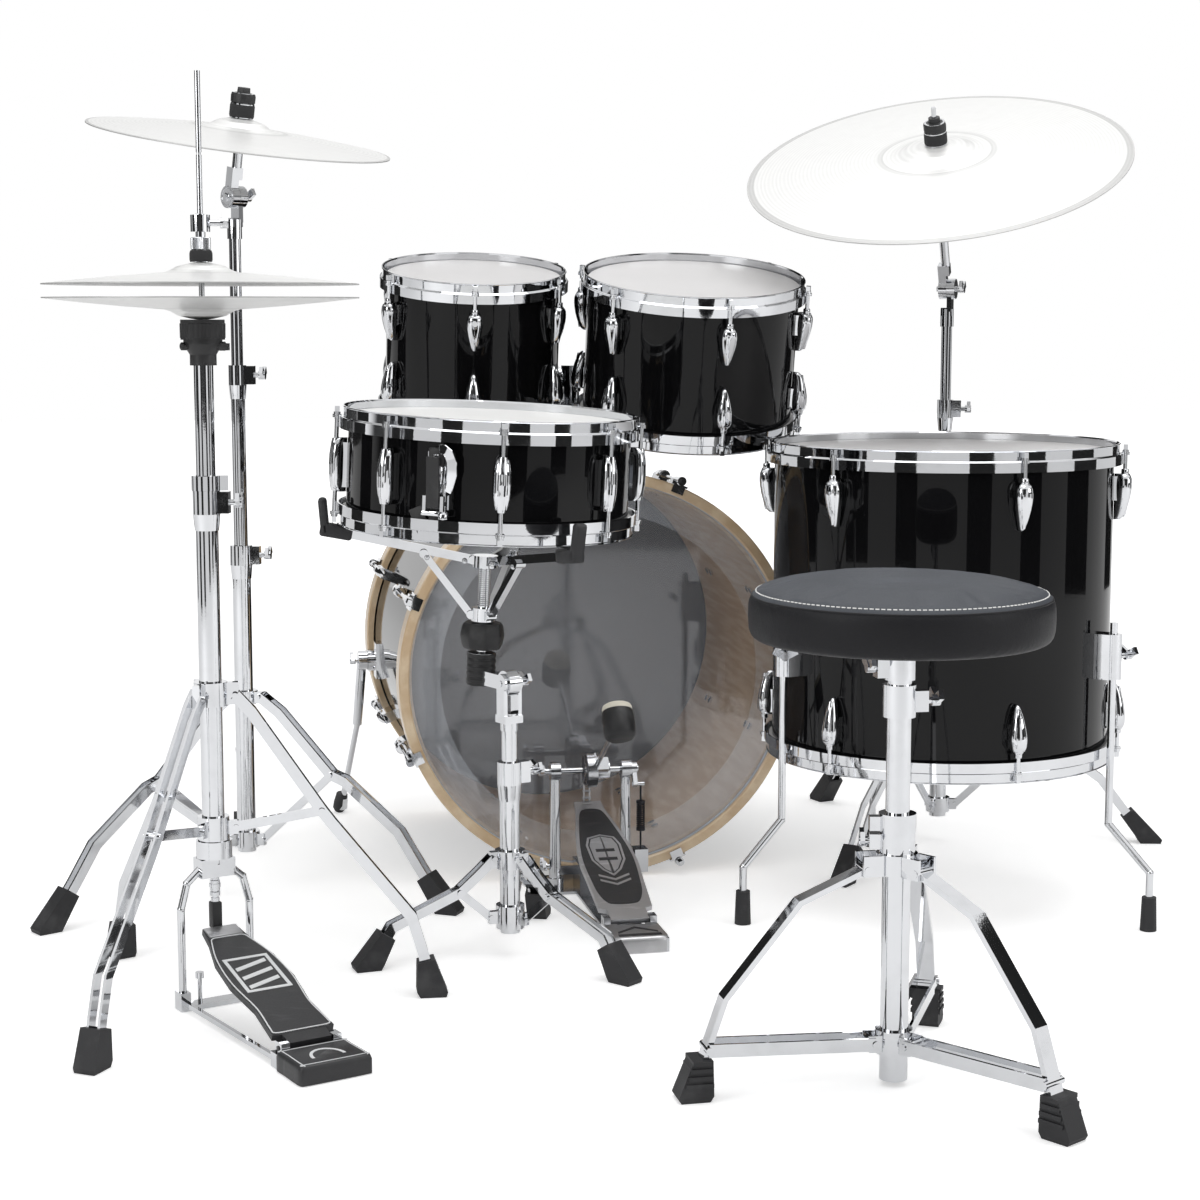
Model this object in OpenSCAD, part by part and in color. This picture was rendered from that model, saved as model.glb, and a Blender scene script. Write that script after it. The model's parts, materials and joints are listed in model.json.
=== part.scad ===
// Acoustic drum kit: bass drum with two rack toms, floor tom, snare drum, hi-hat,
// two cymbals on straight stands, bass pedal and throne.
// Millimetres, +Z up. The player sits on the -Y side and faces +Y; +X is the player's right.
// The origin is on the floor under the player's side of the bass drum.

/* [Bass drum] */
// Shell diameter
bass_d = 558.8; // [500:1:600]
// Shell depth
bass_depth = 457; // [380:1:500]
// Shell wall
bass_wall = 8; // [6:0.5:10]
// Width of each wooden hoop
bass_hoop_w = 38; // [34:1:44]
// Thickness of each wooden hoop
bass_hoop_t = 11; // [9:0.5:13]
// Head rim's distance in from the hoop's open edge
bass_head_in = 15; // [13:1:20]

/* [Rack toms] */
// Shell diameter of the small tom
tom10_d = 254; // [250:1:258]
// Shell diameter of the large tom
tom12_d = 304.8; // [300:1:309]
// Shell depth of both rack toms
tom_depth = 203; // [190:1:215]
// Tilt of the small tom towards the player
tom10_tilt = 11; // [8:0.5:14]
// Tilt of the large tom towards the player
tom12_tilt = 12.5; // [10:0.5:16]

/* [Floor tom] */
// Shell diameter
floor_d = 457.2; // [450:1:465]
// Shell depth
floor_depth = 406.4; // [390:1:420]
// Height of the shell's lower edge over the floor
floor_clear = 220; // [216:1:240]
// Diameter of each leg
floor_leg_d = 10; // [9:0.5:12]
// Distance of the leg tips from the drum's axis
floor_foot_r = 309; // [295:1:325]

/* [Snare drum] */
// Shell diameter
snare_d = 355.6; // [350:1:360]
// Shell depth
snare_depth = 127; // [120:1:140]
// Height of the upper head over the floor
snare_z = 678; // [660:1:720]
// Tilt of the drum on its basket
snare_tilt = 2.95; // [1:0.05:4]

/* [Drum hardware] */
// Wall of the wooden shells
shell_wall = 6; // [5:0.5:8]
// Height of a steel hoop's lip over the head
hoop_lip = 11; // [9:0.5:13]
// Steel hoop's sheet thickness
hoop_t = 2; // [1.8:0.1:2.4]
// Tension rod diameter
rod_d = 5.6; // [5:0.1:6]
// Distance of the tension rods from the shell
rod_out = 14; // [13:0.5:15]

/* [Snare stand] */
// Base tube diameter
snare_base_d = 25.4; // [24:0.1:28]
// Upper tube diameter
snare_post_d = 19.5; // [17:0.1:20.5]
// Reach of the tripod's feet
snare_feet_r = 188; // [175:1:205]
// Height of the basket's hub
basket_hub_z = 497; // [492:1:500]

/* [Hi-hat stand] */
// Base tube diameter
hat_base_d = 26; // [25.5:0.1:30]
// Upper tube diameter
hat_upper_d = 22.2; // [20:0.1:23]
// Pull rod diameter
hat_rod_d = 6.35; // [6:0.05:7]
// Length of the pull rod's free tip above its turned groove
hat_tip_l = 90; // [60:5:110]
// Diameter of the rod at the bottom of that groove
hat_groove_d = 4.8; // [4:0.1:5.5]
// Height of the pull rod's top
hat_rod_top = 1080; // [1040:5:1120]
// Cymbal diameter
hat_d = 356; // [350:1:370]
// Height of the lower cymbal's upper edge
hat_rim_z = 828; // [820:1:840]
// Gap between the rims
hat_gap = 14; // [14:1:18]
// Reach of the tripod's feet
hat_feet_r = 255; // [248:1:265]

/* [Cymbal stands] */
// Base tube diameter
stand_base_d = 25.4; // [25:0.1:27]
// Middle tube diameter
stand_mid_d = 19; // [18:0.1:20]
// Upper tube diameter
stand_top_d = 15.9; // [15:0.1:16.5]
// Reach of the crash stand's feet
crash_feet_r = 308; // [300:1:325]
// Reach of the ride stand's feet
ride_feet_r = 326; // [315:1:335]
// Crash cymbal diameter
crash_d = 406; // [380:1:430]
// Crash cymbal's height at its bell
crash_z = 1069; // [1055:1:1080]
// Crash cymbal's tilt
crash_tilt = 11; // [6:0.5:14]
// Ride cymbal diameter
ride_d = 559; // [510:1:565]
// Ride cymbal's distance from its tilter
ride_rod = 230; // [215:1:240]
// Ride cymbal's tilt
ride_tilt = 25.5; // [18:0.5:28]

/* [Bass pedal] */
// Distance between the posts
pedal_post_gap = 101.4; // [98:0.2:106]
// Height of the axle
pedal_axle_z = 170; // [166:1:180]
// Footboard length
pedal_board_l = 298; // [290:1:302]
// Beater shaft length
beater_l = 190; // [180:1:195]
// Beater's lean back from upright
beater_lean = 59; // [52:1:64]

/* [Throne] */
// Seat diameter
seat_d = 326; // [300:1:350]
// Seat thickness
seat_t = 65; // [55:1:75]
// Height of the seat's top
seat_top_z = 540; // [530:1:580]
// Post diameter
seat_post_d = 25.4; // [24:0.1:27]
// Base tube diameter
seat_base_d = 30; // [30:0.5:34]
// Reach of the tripod's feet
seat_feet_r = 230; // [220:1:240]

/* [Layout] */
// Small tom's place, at the centre of its upper head
tom10_at = [-155, 177, 864]; // [-900:1:900]
// Large tom's place, at the centre of its upper head
tom12_at = [148, 67, 854]; // [-900:1:900]
// Floor tom's place
floor_at = [433, -199]; // [-900:1:900]
// Snare drum's place
snare_at = [-206.5, -310]; // [-900:1:900]
// Snare stand's post
snare_post_at = [-193.5, -362.7]; // [-900:0.5:900]
// Hi-hat stand's place
hat_at = [-566, -497]; // [-900:1:900]
// Crash stand's place
crash_at = [-506, 12]; // [-900:1:900]
// Ride stand's place
ride_at = [555, 128]; // [-900:1:900]
// Throne's place
seat_at = [126, -922]; // [-1200:1:900]
// Bass pedal's centre line
pedal_x = -28; // [-40:1:-20]

/* [Hidden] */
$fn = 64;

// clearances
fit = 0.05; // running fit of tubes and pins, on the radius
hat_groove_w = 3; // width of the groove turned into the pull rod
boot_ribs = [16, 24, 32, 40]; // heights of the ribs round a throne foot
boot_rib = [36, 34, 4.5]; // size of the lowest rib: along the leg, across it and its height
gap = 0.3; // between pieces that move past each other
seat_gap = 0.15; // between curved pieces that lie on each other

// steel hoop, measured out from the shell's outside and up from the head
hoop_in = 4.6;
hoop_wall = hoop_in + hoop_t;
hoop_lip_r = hoop_wall + 1.2;
hoop_skirt_r = hoop_wall + 4.2;
hoop_flange_z = -4;
hoop_skirt_z = -17;
head_rim_out = 4.2;
film = 0.4; // drum head film
ear_r = 5.5;
ear_t = hoop_t - 0.4;

// places worked out from the sizes
bass_r = bass_d / 2;
bass_hoop_r = bass_r + 1 + bass_hoop_t;
pedal_jaw = 4;
bass_z = bass_hoop_r + pedal_jaw + 0.1; // the hoop stands on the pedal's plate
bass_end_y = bass_head_in + bass_depth; // front edge of the shell
bass_claw_angles = [for (i = [0:7]) 22.5 + 45 * i];

// the rack toms tip about one axis behind them
tom_pivot_y = 235;
tom_pivot_z = 715;
tom_post_x = 0;
tom_post_r = 12;

chrome = "silver";
black = "#151515";

// ---------- shared shapes ----------

function polar(r, a) = [r * cos(a), r * sin(a)];
function unit(v) = v / norm(v);

// point i of a path, moved sideways by s with a mitred corner
function beside(points, i, s) =
    let (
        a = unit(points[max(i, 1)] - points[max(i, 1) - 1]),
        b = unit(points[min(i + 1, len(points) - 1)] - points[min(i + 1, len(points) - 1) - 1]),
        m = unit(a + b)
    ) points[i] + s / (m * a) * [-m[1], m[0]];

module tube(r, wall, h) {
    difference() {
        cylinder(r = r, h = h);
        translate([0, 0, -1]) cylinder(r = r - wall, h = h + 2);
    }
}

// a flat bar that follows points [out, up] in the XZ plane; w is across, t is in the plane
module bar(points, t, w) {
    last = len(points) - 1;
    translate([0, w / 2, 0]) rotate([90, 0, 0]) linear_extrude(w) polygon([
        for (i = [0:last]) beside(points, i, t / 2),
        for (i = [last:-1:0]) beside(points, i, -t / 2),
    ]);
}

elbow = 0.6; // how much an elbow is thicker than its rod
// a round rod through a list of 3-D points, with round elbows
module rod_path(points, d) {
    for (i = [0:len(points) - 2]) {
        v = points[i + 1] - points[i];
        translate(points[i]) rotate([0, acos(v[2] / norm(v)), atan2(v[1], v[0])])
            cylinder(d = d, h = norm(v));
    }
    for (i = [1:len(points) - 2]) translate(points[i]) sphere(d = d + elbow);
}

// ring about Z between two radii
module ring(r_in, r_out, z0, z1) {
    translate([0, 0, z0]) difference() {
        cylinder(r = r_out, h = z1 - z0);
        translate([0, 0, -1]) cylinder(r = r_in, h = z1 - z0 + 2);
    }
}

// wing nut or wing bolt along +X
module wing_bolt(reach, span) {
    rotate([0, 90, 0]) cylinder(d = 7, h = reach);
    translate([reach - 1, 0, 0]) rotate([0, 90, 0]) cylinder(d = 12, h = 9);
    for (s = [-1, 1]) translate([reach + 4, 0, 0]) rotate([s * 62, 0, 0])
        translate([-2, -5, 3]) cube([5, 10, span / 2 - 3]);
}

// ---------- drums with steel hoops ----------

// Shell with round bearing edges; local z = 0 is the lower edge
module drum_shell(d, h, wall) {
    rotate_extrude($fn = 128) polygon([
        [d / 2 - wall, 4], [d / 2 - 3, 0], [d / 2 - 1, 0], [d / 2, 2],
        [d / 2, h - 2], [d / 2 - 1, h], [d / 2 - 3, h], [d / 2 - wall, h - 4],
    ]);
}

// Flanged steel hoop over a head at z = 0
module steel_hoop(d, lugs, turn) {
    s = d / 2;
    difference() {
        union() {
            rotate_extrude($fn = 128) polygon([
                [s + 0.9, hoop_flange_z - hoop_t / 2], [s + hoop_skirt_r - hoop_t, hoop_flange_z - hoop_t / 2],
                [s + hoop_skirt_r - hoop_t, hoop_skirt_z], [s + hoop_skirt_r, hoop_skirt_z],
                [s + hoop_skirt_r, hoop_flange_z], [s + hoop_skirt_r - 1, hoop_flange_z + hoop_t / 2],
                [s + hoop_wall + 1, hoop_flange_z + hoop_t / 2], [s + hoop_wall, hoop_flange_z + hoop_t / 2 + 1], [s + hoop_wall, hoop_lip - hoop_t],
                [s + hoop_lip_r, hoop_lip - hoop_t / 2], [s + hoop_lip_r - 0.6, hoop_lip],
                [s + hoop_wall - 1, hoop_lip], [s + hoop_in, hoop_lip - hoop_t],
                [s + hoop_in, hoop_flange_z + hoop_t / 2], [s + 0.9, hoop_flange_z + hoop_t / 2],
            ]);
            for (i = [0:lugs - 1]) rotate(turn + 360 * i / lugs) {
                translate([s + rod_out, 0, hoop_flange_z - ear_t / 2]) cylinder(r = ear_r, h = ear_t);
                translate([s + hoop_in + 1, -ear_r + 0.5, hoop_flange_z - ear_t / 2])
                    cube([rod_out - hoop_in - 1, 2 * ear_r - 1, ear_t]);
            }
        }
        for (i = [0:lugs - 1]) rotate(turn + 360 * i / lugs)
            translate([s + rod_out, 0, hoop_flange_z - 5]) cylinder(d = rod_d + 0.8, h = 10);
    }
}

// Film head with its flesh hoop, at z = 0
module drum_head(d) {
    s = d / 2;
    rotate_extrude($fn = 128) polygon([
        [0, 0.1], [s - 0.5, 0.1], [s + 0.3, -0.6], [s + 0.3, -12], [s + head_rim_out, -12],
        [s + head_rim_out, hoop_flange_z - hoop_t / 2 - 0.2], [s + 0.75, hoop_flange_z - hoop_t / 2 - 0.2],
        [s + 0.75, -0.3], [s - 0.2, 0.1 + film], [0, 0.1 + film],
    ]);
}

// Teardrop lug; its tension rod runs up through the hoop's ear above it
module drop_lug(d, z_rod_top, z_body, body_l) {
    s = d / 2;
    difference() {
        union() {
            translate([s + rod_out, 0, z_body]) rotate_extrude($fn = 32) polygon([
                [0, 0], [6.2, 0], [7.6, -3], [8, -10], [6.8, -body_l * 0.5],
                [4.2, -body_l * 0.8], [1.8, -body_l], [0, -body_l],
            ]);
            translate([s - 1, -6.5, z_body - body_l * 0.62]) cube([rod_out, 13, body_l * 0.56]);
        }
        translate([0, 0, z_body - body_l - 1]) cylinder(r = s + seat_gap, h = body_l + 2, $fn = 128);
    }
    translate([s + rod_out, 0, z_body - 1]) cylinder(d = rod_d, h = z_rod_top - z_body + 1);
    // washer and square key head
    translate([s + rod_out, 0, z_rod_top]) {
        cylinder(d = 11, h = 2);
        cylinder(d = 8.5, h = 5);
        translate([-3, -3, 4]) cube([6, 6, 8]);
    }
}

// Two rows of teardrop lugs on a drum of the given size
module drum_lugs(d, h, lugs, turn, body_l) {
    top = h + hoop_flange_z + hoop_t / 2 + 0.1;
    for (i = [0:lugs - 1]) rotate(turn + 360 * i / lugs) {
        drop_lug(d, top, h - 30, body_l);
        translate([0, 0, h]) mirror([0, 0, 1]) drop_lug(d, top, h - 30, body_l);
    }
}

module both_heads(d, h) {
    translate([0, 0, h]) drum_head(d);
    mirror([0, 0, 1]) drum_head(d);
}

module both_hoops(d, h, lugs, turn) {
    translate([0, 0, h]) steel_hoop(d, lugs, turn);
    mirror([0, 0, 1]) steel_hoop(d, lugs, turn);
}

// ---------- bass drum: local Z is the drum's axis, z = 0 at the open edge of the player's hoop ----------

module bass_place() {
    translate([0, 0, bass_z]) rotate([-90, 0, 0]) children();
}

// the same drum seen from its front end, so that both ends share their pieces
module bass_ends() {
    bass_place() {
        children();
        translate([0, 0, bass_end_y + bass_head_in]) mirror([0, 0, 1]) children();
    }
}

module bass_shell() {
    color(black) bass_place() translate([0, 0, bass_head_in]) drum_shell(bass_d, bass_depth, bass_wall);
}

module bass_hoops() {
    r_in = bass_r + 1;
    color("burlywood") bass_ends() rotate_extrude($fn = 128) polygon([
        [r_in - 4, 2], [r_in - 2, 0], [bass_hoop_r - 2, 0], [bass_hoop_r, 2],
        [bass_hoop_r, bass_hoop_w - 2], [bass_hoop_r - 2, bass_hoop_w], [r_in + 0.5, bass_hoop_w],
        [r_in + 0.5, bass_head_in - 8], [r_in - 4, bass_head_in - 8],
    ]);
}

// Film with its flesh hoop, which the wooden hoop pulls over the shell
module bass_head() {
    s = bass_r;
    rotate_extrude($fn = 128) polygon([
        [0, bass_head_in - 0.1 - film], [s - 1.5, bass_head_in - 0.1 - film],
        [s - 2, bass_head_in - 7.8], [s + 1.3, bass_head_in - 7.8], [s + 1.3, bass_head_in + 6],
        [s + 0.3, bass_head_in + 6], [s + 0.3, bass_head_in - 0.1], [0, bass_head_in - 0.1],
    ]);
}

module bass_batter_head() {
    color([0.9, 0.92, 0.95, 0.35]) bass_place() bass_head();
}

module bass_front_head() {
    color([0.25, 0.26, 0.28]) bass_place()
        translate([0, 0, bass_end_y + bass_head_in]) mirror([0, 0, 1]) bass_head();
}

bass_lug_z = 100; // lug's outer end along the drum, from the hoop's open edge
bass_rod_r = bass_hoop_r + 8;
module bass_lug() {
    difference() {
        union() {
            translate([bass_rod_r, 0, bass_lug_z]) rotate_extrude($fn = 32) polygon([
                [0, 0], [7, 0], [8.6, 4], [9, 14], [7.6, 36], [4.6, 54], [2, 66], [0, 66],
            ]);
            translate([bass_r - 2, -8, bass_lug_z + 3]) cube([bass_rod_r - bass_r + 2, 16, 42]);
        }
        translate([0, 0, bass_lug_z - 2]) cylinder(r = bass_r + seat_gap, h = 72, $fn = 128);
    }
}

// bracket for one spur on the shell, at side +1 or -1
spur_y = 390;
spur_z = 268;
spur_tip = [60, 118]; // out and forward of the pivot
module spur_bracket(side) {
    difference() {
        translate([side * (bass_r - 6), spur_y, spur_z]) rotate([0, 90 * side, 0]) {
            translate([-28, -20, 0]) cube([56, 40, 12]);
            cylinder(r = 17, h = 24);
        }
        bass_place() cylinder(r = bass_r + seat_gap, h = bass_end_y, $fn = 128);
        translate([0, spur_y, spur_z]) rotate([0, 90 * side, 0]) cylinder(r = 4 + fit, h = 400);
    }
}

module bass_lugs() {
    color(chrome) {
        bass_ends() for (a = bass_claw_angles) rotate(a) bass_lug();
        // heads of the screws that hold the lugs, inside the shell
        bass_ends() for (a = bass_claw_angles) for (z = [12, 34]) rotate(a)
            translate([bass_r - bass_wall - gap, 0, bass_lug_z + z]) rotate([0, -90, 0])
                cylinder(d = 11, h = 3, $fn = 24);
        for (s = [-1, 1]) spur_bracket(s);
    }
}

// Hook over the wooden hoop with its tension rod
module bass_claw() {
    r0 = bass_hoop_r + 0.3;
    translate([r0, -12, -2.5]) cube([3, 24, 34]);
    translate([r0 - 11, -9, -3]) cube([12, 18, 2.7]);
    translate([r0 + 2, -8, 14]) cube([5, 16, 17]);
    translate([bass_rod_r, 0, 0]) {
        translate([0, 0, -6]) cylinder(d = 13, h = 8);
        translate([-3, -3, -14]) cube([6, 6, 10]);
        translate([0, 0, 0]) cylinder(d = 10, h = 30);
        cylinder(d = 6, h = bass_lug_z - 0.1);
    }
}

module bass_claws() {
    color(chrome) bass_ends() for (a = bass_claw_angles) rotate(a) bass_claw();
}

// Spur in its own frame: pivot at the origin, side +1 points to +X
module spur(side) {
    tip_z = -spur_z + 7.4;
    tip = [spur_tip[0] - 26, spur_tip[1], tip_z];
    mid = [12, spur_tip[1] * 0.42, tip_z * 0.42];
    translate([side * (bass_r + 18 + gap), spur_y, spur_z]) mirror([side < 0 ? 1 : 0, 0, 0]) {
        rotate([0, 90, 0]) cylinder(r = 15, h = 14);
        translate([-17, 0, 0]) rotate([0, 90, 0]) cylinder(r = 4, h = 18);
        translate([13, 0, 0]) wing_bolt(6, 30);
        rod_path([[8, 0, 0], mid], 15);
        rod_path([mid, tip], 9.5);
        translate(tip - (tip - mid) / norm(tip - mid) * 22) {
            v = tip - mid;
            rotate([0, acos(v[2] / norm(v)), atan2(v[1], v[0])]) cylinder(r1 = 8, r2 = 10, h = 20);
        }
        translate(tip) sphere(r = 7);
    }
}

module bass_spur_left() {
    color(chrome) spur(-1);
}

module bass_spur_right() {
    color(chrome) spur(1);
}

// Plate, post and cross pin that carry both rack toms
module tom_mount() {
    color(chrome) {
        difference() {
            union() {
                translate([tom_post_x - 34, tom_pivot_y - 40, bass_z + bass_r - 22]) cube([68, 80, 32]);
                translate([tom_post_x, tom_pivot_y, bass_z + bass_r]) cylinder(r = 19, h = 46);
            }
            bass_place() cylinder(r = bass_r + seat_gap, h = bass_end_y, $fn = 128);
        }
        translate([tom_post_x, tom_pivot_y, bass_z + bass_r + 20])
            cylinder(r = tom_post_r, h = tom_pivot_z - bass_z - bass_r - 20);
        translate([tom_post_x, tom_pivot_y, tom_pivot_z]) {
            translate([0, 0, -16]) cylinder(r = 15, h = 32);
            translate([-27, 0, 0]) rotate([0, 90, 0]) cylinder(r = 7, h = 60);
            translate([0, 11, -34]) rotate([0, 0, 90]) wing_bolt(8, 30);
        }
        translate([tom_post_x, tom_pivot_y + 18, bass_z + bass_r + 32]) rotate([0, 0, 90]) wing_bolt(9, 36);
    }
}

// ---------- rack toms ----------

// local frame of a rack tom: z = 0 is the lower edge of the shell
module tom_place(at, tilt) {
    translate(at) rotate([tilt, 0, 0]) translate([0, 0, -tom_depth]) children();
}

tom10_turn = -97.5;
tom12_turn = -85.5;
tom_eye_w = 9;

// Bracket from the shell to an eye on the cross pin; eye_x is the eye's near face
module tom_bracket(at, tilt, d, eye_x, plate_a) {
    difference() {
        union() {
            translate([eye_x, tom_pivot_y, tom_pivot_z]) rotate([0, 90, 0]) cylinder(r = 13, h = tom_eye_w);
            hull_y = [at[0] + d / 2 * cos(plate_a), at[1] + (at[2] - tom_pivot_z) * tan(tilt) + d / 2 * sin(plate_a)];
            v = hull_y - [eye_x + tom_eye_w / 2, tom_pivot_y];
            intersection() {
                translate([eye_x + tom_eye_w / 2, tom_pivot_y, tom_pivot_z - 11]) rotate(atan2(v[1], v[0]))
                    translate([0, -tom_eye_w / 2, 0]) cube([norm(v) + 6, tom_eye_w, 22]);
                translate([at[0], at[1], 0]) cylinder(r = d / 2 + 60, h = 2000);
            }
            tom_place(at, tilt) rotate(plate_a) translate([d / 2 - 3, -17, tom_depth / 2 - 18])
                cube([8, 34, 36]);
        }
        tom_place(at, tilt) translate([0, 0, -20])
            cylinder(r = d / 2 + seat_gap, h = tom_depth + 40, $fn = 128);
        translate([eye_x - 40, tom_pivot_y, tom_pivot_z]) rotate([0, 90, 0]) cylinder(r = 7 + fit, h = 90);
    }
}

module tom10_shell() {
    color(black) tom_place(tom10_at, tom10_tilt) drum_shell(tom10_d, tom_depth, shell_wall);
}

module tom10_hoops() {
    color(chrome) tom_place(tom10_at, tom10_tilt) both_hoops(tom10_d, tom_depth, 6, tom10_turn);
}

module tom10_heads() {
    color("whitesmoke") tom_place(tom10_at, tom10_tilt) both_heads(tom10_d, tom_depth);
}

module tom10_lugs() {
    color(chrome) {
        tom_place(tom10_at, tom10_tilt) drum_lugs(tom10_d, tom_depth, 6, tom10_turn, 52);
        tom_bracket(tom10_at, tom10_tilt, tom10_d, tom_post_x - 25.5, 14);
    }
}

module tom12_shell() {
    color(black) tom_place(tom12_at, tom12_tilt) drum_shell(tom12_d, tom_depth, shell_wall);
}

module tom12_hoops() {
    color(chrome) tom_place(tom12_at, tom12_tilt) both_hoops(tom12_d, tom_depth, 6, tom12_turn);
}

module tom12_heads() {
    color("whitesmoke") tom_place(tom12_at, tom12_tilt) both_heads(tom12_d, tom_depth);
}

module tom12_lugs() {
    color(chrome) {
        tom_place(tom12_at, tom12_tilt) drum_lugs(tom12_d, tom_depth, 6, tom12_turn, 52);
        tom_bracket(tom12_at, tom12_tilt, tom12_d, tom_post_x + 22, 134);
    }
}

// ---------- floor tom ----------

floor_turn = -85;
floor_lugs = 6;
floor_leg_angles = [195, 315, 88];
floor_leg_out = 21.4; // leg's distance from the shell
floor_leg_over = 15; // leg's length above its bracket
floor_bracket_z = 111; // bracket's lower end over the shell's edge
floor_bracket_h = 60;
floor_bend_z = [136, 77]; // heights of the leg's two bends

module floor_place() {
    translate([floor_at[0], floor_at[1], floor_clear]) children();
}

module floor_tom_shell() {
    color(black) floor_place() drum_shell(floor_d, floor_depth, shell_wall);
}

module floor_tom_hoops() {
    color(chrome) floor_place() both_hoops(floor_d, floor_depth, floor_lugs, floor_turn);
}

module floor_tom_heads() {
    color("whitesmoke") floor_place() both_heads(floor_d, floor_depth);
}

module floor_tom_lugs() {
    r = floor_d / 2;
    color(chrome) floor_place() {
        drum_lugs(floor_d, floor_depth, floor_lugs, floor_turn, 58);
        for (a = floor_leg_angles) rotate(a) difference() {
            union() {
                translate([r - 3, -14, floor_bracket_z]) cube([floor_leg_out + 3, 28, floor_bracket_h]);
                translate([r + floor_leg_out, 0, floor_bracket_z]) cylinder(r = 11, h = floor_bracket_h);
                translate([r + floor_leg_out, 0, floor_bracket_z + floor_bracket_h / 2])
                    rotate(64) wing_bolt(22, 34);
            }
            translate([r + floor_leg_out, 0, -10]) cylinder(d = floor_leg_d + 2 * fit, h = floor_depth);
            translate([0, 0, floor_bracket_z - 5]) cylinder(r = r + seat_gap, h = floor_bracket_h + 10, $fn = 128);
        }
    }
}

module floor_tom_legs() {
    r = floor_d / 2 + floor_leg_out;
    color(chrome) translate([floor_at[0], floor_at[1], 0]) for (a = floor_leg_angles) rotate(a)
        rod_path([
            [r, 0, floor_clear + floor_bracket_z + floor_bracket_h + floor_leg_over], [r, 0, floor_bend_z[0]],
            [floor_foot_r, 0, floor_bend_z[1]], [floor_foot_r, 0, 12],
        ], floor_leg_d);
}

// ---------- snare drum ----------

snare_turn = -94;
snare_tilt_to = -37.6; // direction of the low side
module snare_place() {
    translate([snare_at[0], snare_at[1], snare_z]) rotate(snare_tilt_to) rotate([0, snare_tilt, 0])
        rotate(-snare_tilt_to) translate([0, 0, -snare_depth]) children();
}

module snare_shell() {
    color(black) snare_place() drum_shell(snare_d, snare_depth, shell_wall);
}

module snare_hoops() {
    color(chrome) snare_place() both_hoops(snare_d, snare_depth, 8, snare_turn);
}

module snare_heads() {
    color("whitesmoke") snare_place() both_heads(snare_d, snare_depth);
}

strainer_a = snare_turn - 23.5; // between two lugs
strainer_pivot = [snare_d / 2 + 17, 38];
// Double lug: a long oval body with a rod to each hoop
module double_lug() {
    s = snare_d / 2;
    h = snare_depth;
    top = h + hoop_flange_z + hoop_t / 2 + 0.1;
    difference() {
        union() {
            translate([s + rod_out, 0, h / 2 - 33]) rotate_extrude($fn = 32)
                polygon([[0, 0], [5, 0], [6, 4], [8.2, 20], [8.6, 33], [8.2, 46], [6, 62], [5, 66], [0, 66]]);
            translate([s - 2, -6, h / 2 - 28]) cube([rod_out, 12, 56]);
        }
        translate([0, 0, -1]) cylinder(r = s + seat_gap, h = h + 2, $fn = 128);
    }
    for (m = [0, 1]) translate([0, 0, m * h]) mirror([0, 0, m]) translate([s + rod_out, 0, 0]) {
        translate([0, 0, h / 2]) cylinder(d = rod_d, h = top - h / 2);
        translate([0, 0, top]) {
            cylinder(d = 11, h = 2);
            cylinder(d = 8.5, h = 5);
            translate([-3, -3, 4]) cube([6, 6, 8]);
        }
    }
}

module snare_lugs() {
    s = snare_d / 2;
    color(chrome) snare_place() {
        for (i = [0:7]) rotate(snare_turn + 45 * i) double_lug();
        // strainer housing, with the butt plate opposite
        rotate(strainer_a) difference() {
            union() {
                translate([s - 2, -14, 30]) cube([9, 28, 68]);
                for (y = [-13, 9]) translate([s, y, strainer_pivot[1] - 9]) cube([24, 4, 18]);
                translate([s + 12, 0, 62]) cylinder(d = 13, h = 34);
                translate([s + 4, -5, 62]) cube([8, 10, 30]);
            }
            translate([0, 0, 10]) cylinder(r = s + seat_gap, h = 100, $fn = 128);
            translate([strainer_pivot[0], 20, strainer_pivot[1]]) rotate([90, 0, 0])
                cylinder(r = 2.5 + fit, h = 40);
        }
        rotate(strainer_a + 180) difference() {
            translate([s - 2, -16, 18]) cube([11, 32, 30]);
            translate([0, 0, 10]) cylinder(r = s + seat_gap, h = 60, $fn = 128);
        }
    }
}

// Throw-off lever on its pin in the strainer
module snare_lever() {
    color(black) snare_place() rotate(strainer_a)
        translate([strainer_pivot[0], 0, strainer_pivot[1]]) {
            translate([0, 14, 0]) rotate([90, 0, 0]) cylinder(r = 2.5, h = 28);
            translate([0, 9 - gap, 0]) rotate([90, 0, 0]) cylinder(r = 7, h = 18 - 2 * gap);
            translate([3.5, -8 + gap, -4]) rotate([0, 5, 0]) cube([5, 16 - 2 * gap, 60]);
        }
}

// Bed of wires under the lower head, with its end plates
module snare_wires() {
    l = snare_d - 70;
    color(chrome) snare_place() rotate(strainer_a) {
        for (i = [-7:7]) translate([-l / 2, i * 3, -2.2]) rotate([0, 90, 0]) cylinder(r = 1, h = l, $fn = 16);
        for (x = [-l / 2 - 6, l / 2 - 6]) translate([x, -25, -3.6]) cube([12, 50, 2.8]);
    }
}

// ---------- tripods ----------

// Leg paths as points [out, up], from the collar down to the bend over the foot
snare_leg = [[23, 128], [41, 111], [68, 88], [156, 51]];
hat_leg = [[28, 370], [46, 350], [126, 230], [137, 215], [230, 98], [243, 54]];
stand_leg = [[26, 283], [56, 262], [134, 180], [155, 172], [235, 107], [266, 60]];
leg_half = 7; // half the distance between a leg's two strips
leg_strip = 3;

// where a leg ends inside its rubber foot
function leg_end(leg, feet_r) =
    let (b = leg[len(leg) - 1], v = [feet_r, 0] - b) [feet_r, 0] - v / norm(v) * 16;

// the same leg spread wider and lower
function spread(leg, out, up) = [for (p = leg) [p[0] * out, p[1] * up]];

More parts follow.
